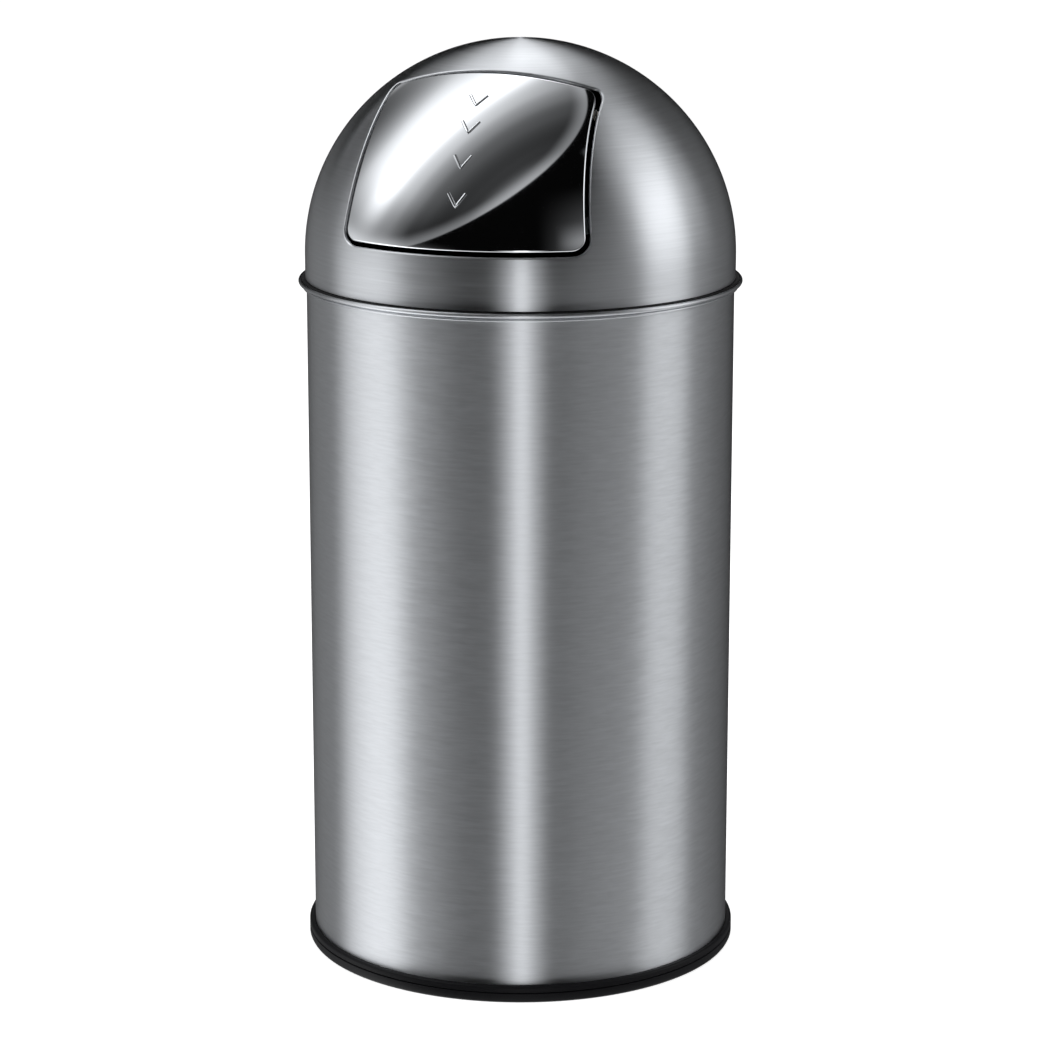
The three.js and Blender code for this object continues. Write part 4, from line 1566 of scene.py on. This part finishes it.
        def facing(azimuth: float, rise: float) -> bpy.types.NodeSocket:
            """Work out the cosine of the angle to a direction.

            Args:
                azimuth: its angle round the object, in degrees.
                rise: its angle above level, in degrees.

            Returns:
                The output that carries it.
            """
            inputs = {0: sight, 1: toward(azimuth, rise)}
            node = add_node(tree, "VectorMath", inputs, operation="DOT_PRODUCT")
            return node.outputs["Value"]

        rim, blur = 0.554, 0.003  # cosine of the box's half angle, and half its edge's width
        edge_width, edge_glow = 0.09, 0.25
        across = facing(-75.3, 58.5)
        low = self.fade(tree, facing(0, 90), 0.0, 0.55)
        side = {"Value": across, "From Min": rim, "To Min": 1.0, "To Max": 2.5}
        spread = {"Value": facing(-120, 26), "From Min": -0.2}
        ramp = add_node(tree, "ValToRGB", {0: add_node(tree, "MapRange", spread).outputs[0]})
        ramp.color_ramp.interpolation = "CARDINAL"
        peak = 1.1
        stops = (
            (0.0, 0.3), (0.1, 0.08), (0.2, 0.03), (0.35, 0.05), (0.46, 0.11), (0.56, 0.28),
            (0.66, 0.55), (0.74, peak), (0.82, 0.8), (0.92, 0.43), (1.0, 0.07),
        )
        elements = ramp.color_ramp.elements
        elements.remove(elements[1])
        elements[0].color = (*[stops[0][1] / peak] * 3, 1)
        for place, level in stops[1:]:
            elements.new(place).color = (*[level / peak] * 3, 1)
        glow = ramp.outputs[0]
        for share in (low, add_node(tree, "MapRange", side).outputs[0], peak):
            glow = add_node(tree, "Math", {0: glow, 1: share}, operation="MULTIPLY").outputs[0]
        edge = {0: self.fade(tree, across, rim + edge_width, rim), 1: edge_glow, 2: glow}
        glow = add_node(tree, "Math", edge, operation="MULTIPLY_ADD").outputs[0]
        inside = {0: glow, 1: self.fade(tree, across, rim - blur, rim + blur)}
        return add_node(tree, "Math", inside, operation="MULTIPLY").outputs[0]

    def add_room(self) -> None:
        """Hang the panels: only the metal's reflections see them."""
        bm = bmesh.new()
        bmesh.ops.create_uvsphere(bm, u_segments=48, v_segments=24, radius=self.room_radius)
        room = as_object(bm, "room_panels", 1.0)
        room.location = (0, 0, self.room_height)
        material = bpy.data.materials.new("soft_panels")
        material.cycles.emission_sampling = "NONE"
        tree = blank_tree(material)
        place = add_node(tree, "TexCoord").outputs["Object"]
        sight = add_node(tree, "VectorMath", {0: place}, operation="NORMALIZE").outputs[0]
        height = add_node(tree, "SeparateXYZ", {0: sight}).outputs["Z"]
        total: object = self.room_level
        lights = [self.panel_light(tree, p, sight) for p in self.panels()]
        lights.append(self.soft_box(tree, sight))
        share = {0: self.rise_fade(tree, height, *self.ground_fade), 1: self.ground_level}
        lights.append(add_node(tree, "Math", share, operation="MULTIPLY").outputs[0])
        for light in lights:
            total = add_node(tree, "Math", {0: total, 1: light}, operation="ADD").outputs[0]
        glow = add_node(tree, "Emission", {"Color": (0.98, 0.99, 1, 1), "Strength": total})
        add_node(tree, "OutputMaterial", {"Surface": glow.outputs[0]})
        room.data.materials.append(material)
        for kind in ("camera", "diffuse", "transmission", "volume_scatter", "shadow"):
            setattr(room, "visible_" + kind, False)

    def add_lamp(self, name: str, azimuth: float, height: float, size: float, power: float) -> None:
        """Hang a large soft lamp that points at the object.

        Args:
            name: of the lamp.
            azimuth: degrees, 0 in front of the flap.
            height: metres above the floor.
            size: its side in metres.
            power: watts.
        """
        data = bpy.data.lights.new(name, "AREA")
        data.size = size
        data.energy = power
        lamp = bpy.data.objects.new(name, data)
        a = math.radians(azimuth)
        reach = self.lamp_reach
        place = Vector((reach * math.sin(a), -reach * math.cos(a), height))
        lamp.location = place
        aim = Vector((0, 0, self.lamp_aim)) - place
        lamp.rotation_euler = aim.to_track_quat("-Z", "Y").to_euler()
        lamp.visible_glossy = False
        bpy.context.scene.collection.objects.link(lamp)

    def build(self) -> None:
        """Set up everything round the object."""
        self.add_world()
        self.add_floor()
        self.add_room()
        self.add_lamp("key", -40, 2.6, 1.8, 38)
        self.add_lamp("fill", 80, 2.2, 1.8, 22)
        self.add_lamp("back", 190, 2.4, 1.8, 20)
        bpy.context.scene.view_settings.view_transform = "Standard"
        log.info("studio ready")


def main() -> None:
    """Build the camera, the pieces and the studio."""
    logging.basicConfig(level=logging.INFO, format="%(name)s: %(message)s")
    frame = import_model()
    studio = Studio()
    studio.add_camera()
    nodes = frame["nodes"]
    shop = Workshop({slot: finish.build() for slot, finish in finishes().items()})
    Body().build(shop)
    Lid().build(shop, nodes)
    Flap().build(shop, nodes)
    Bucket().build(shop, nodes)
    studio.build()


if __name__ == "__main__":
    main()
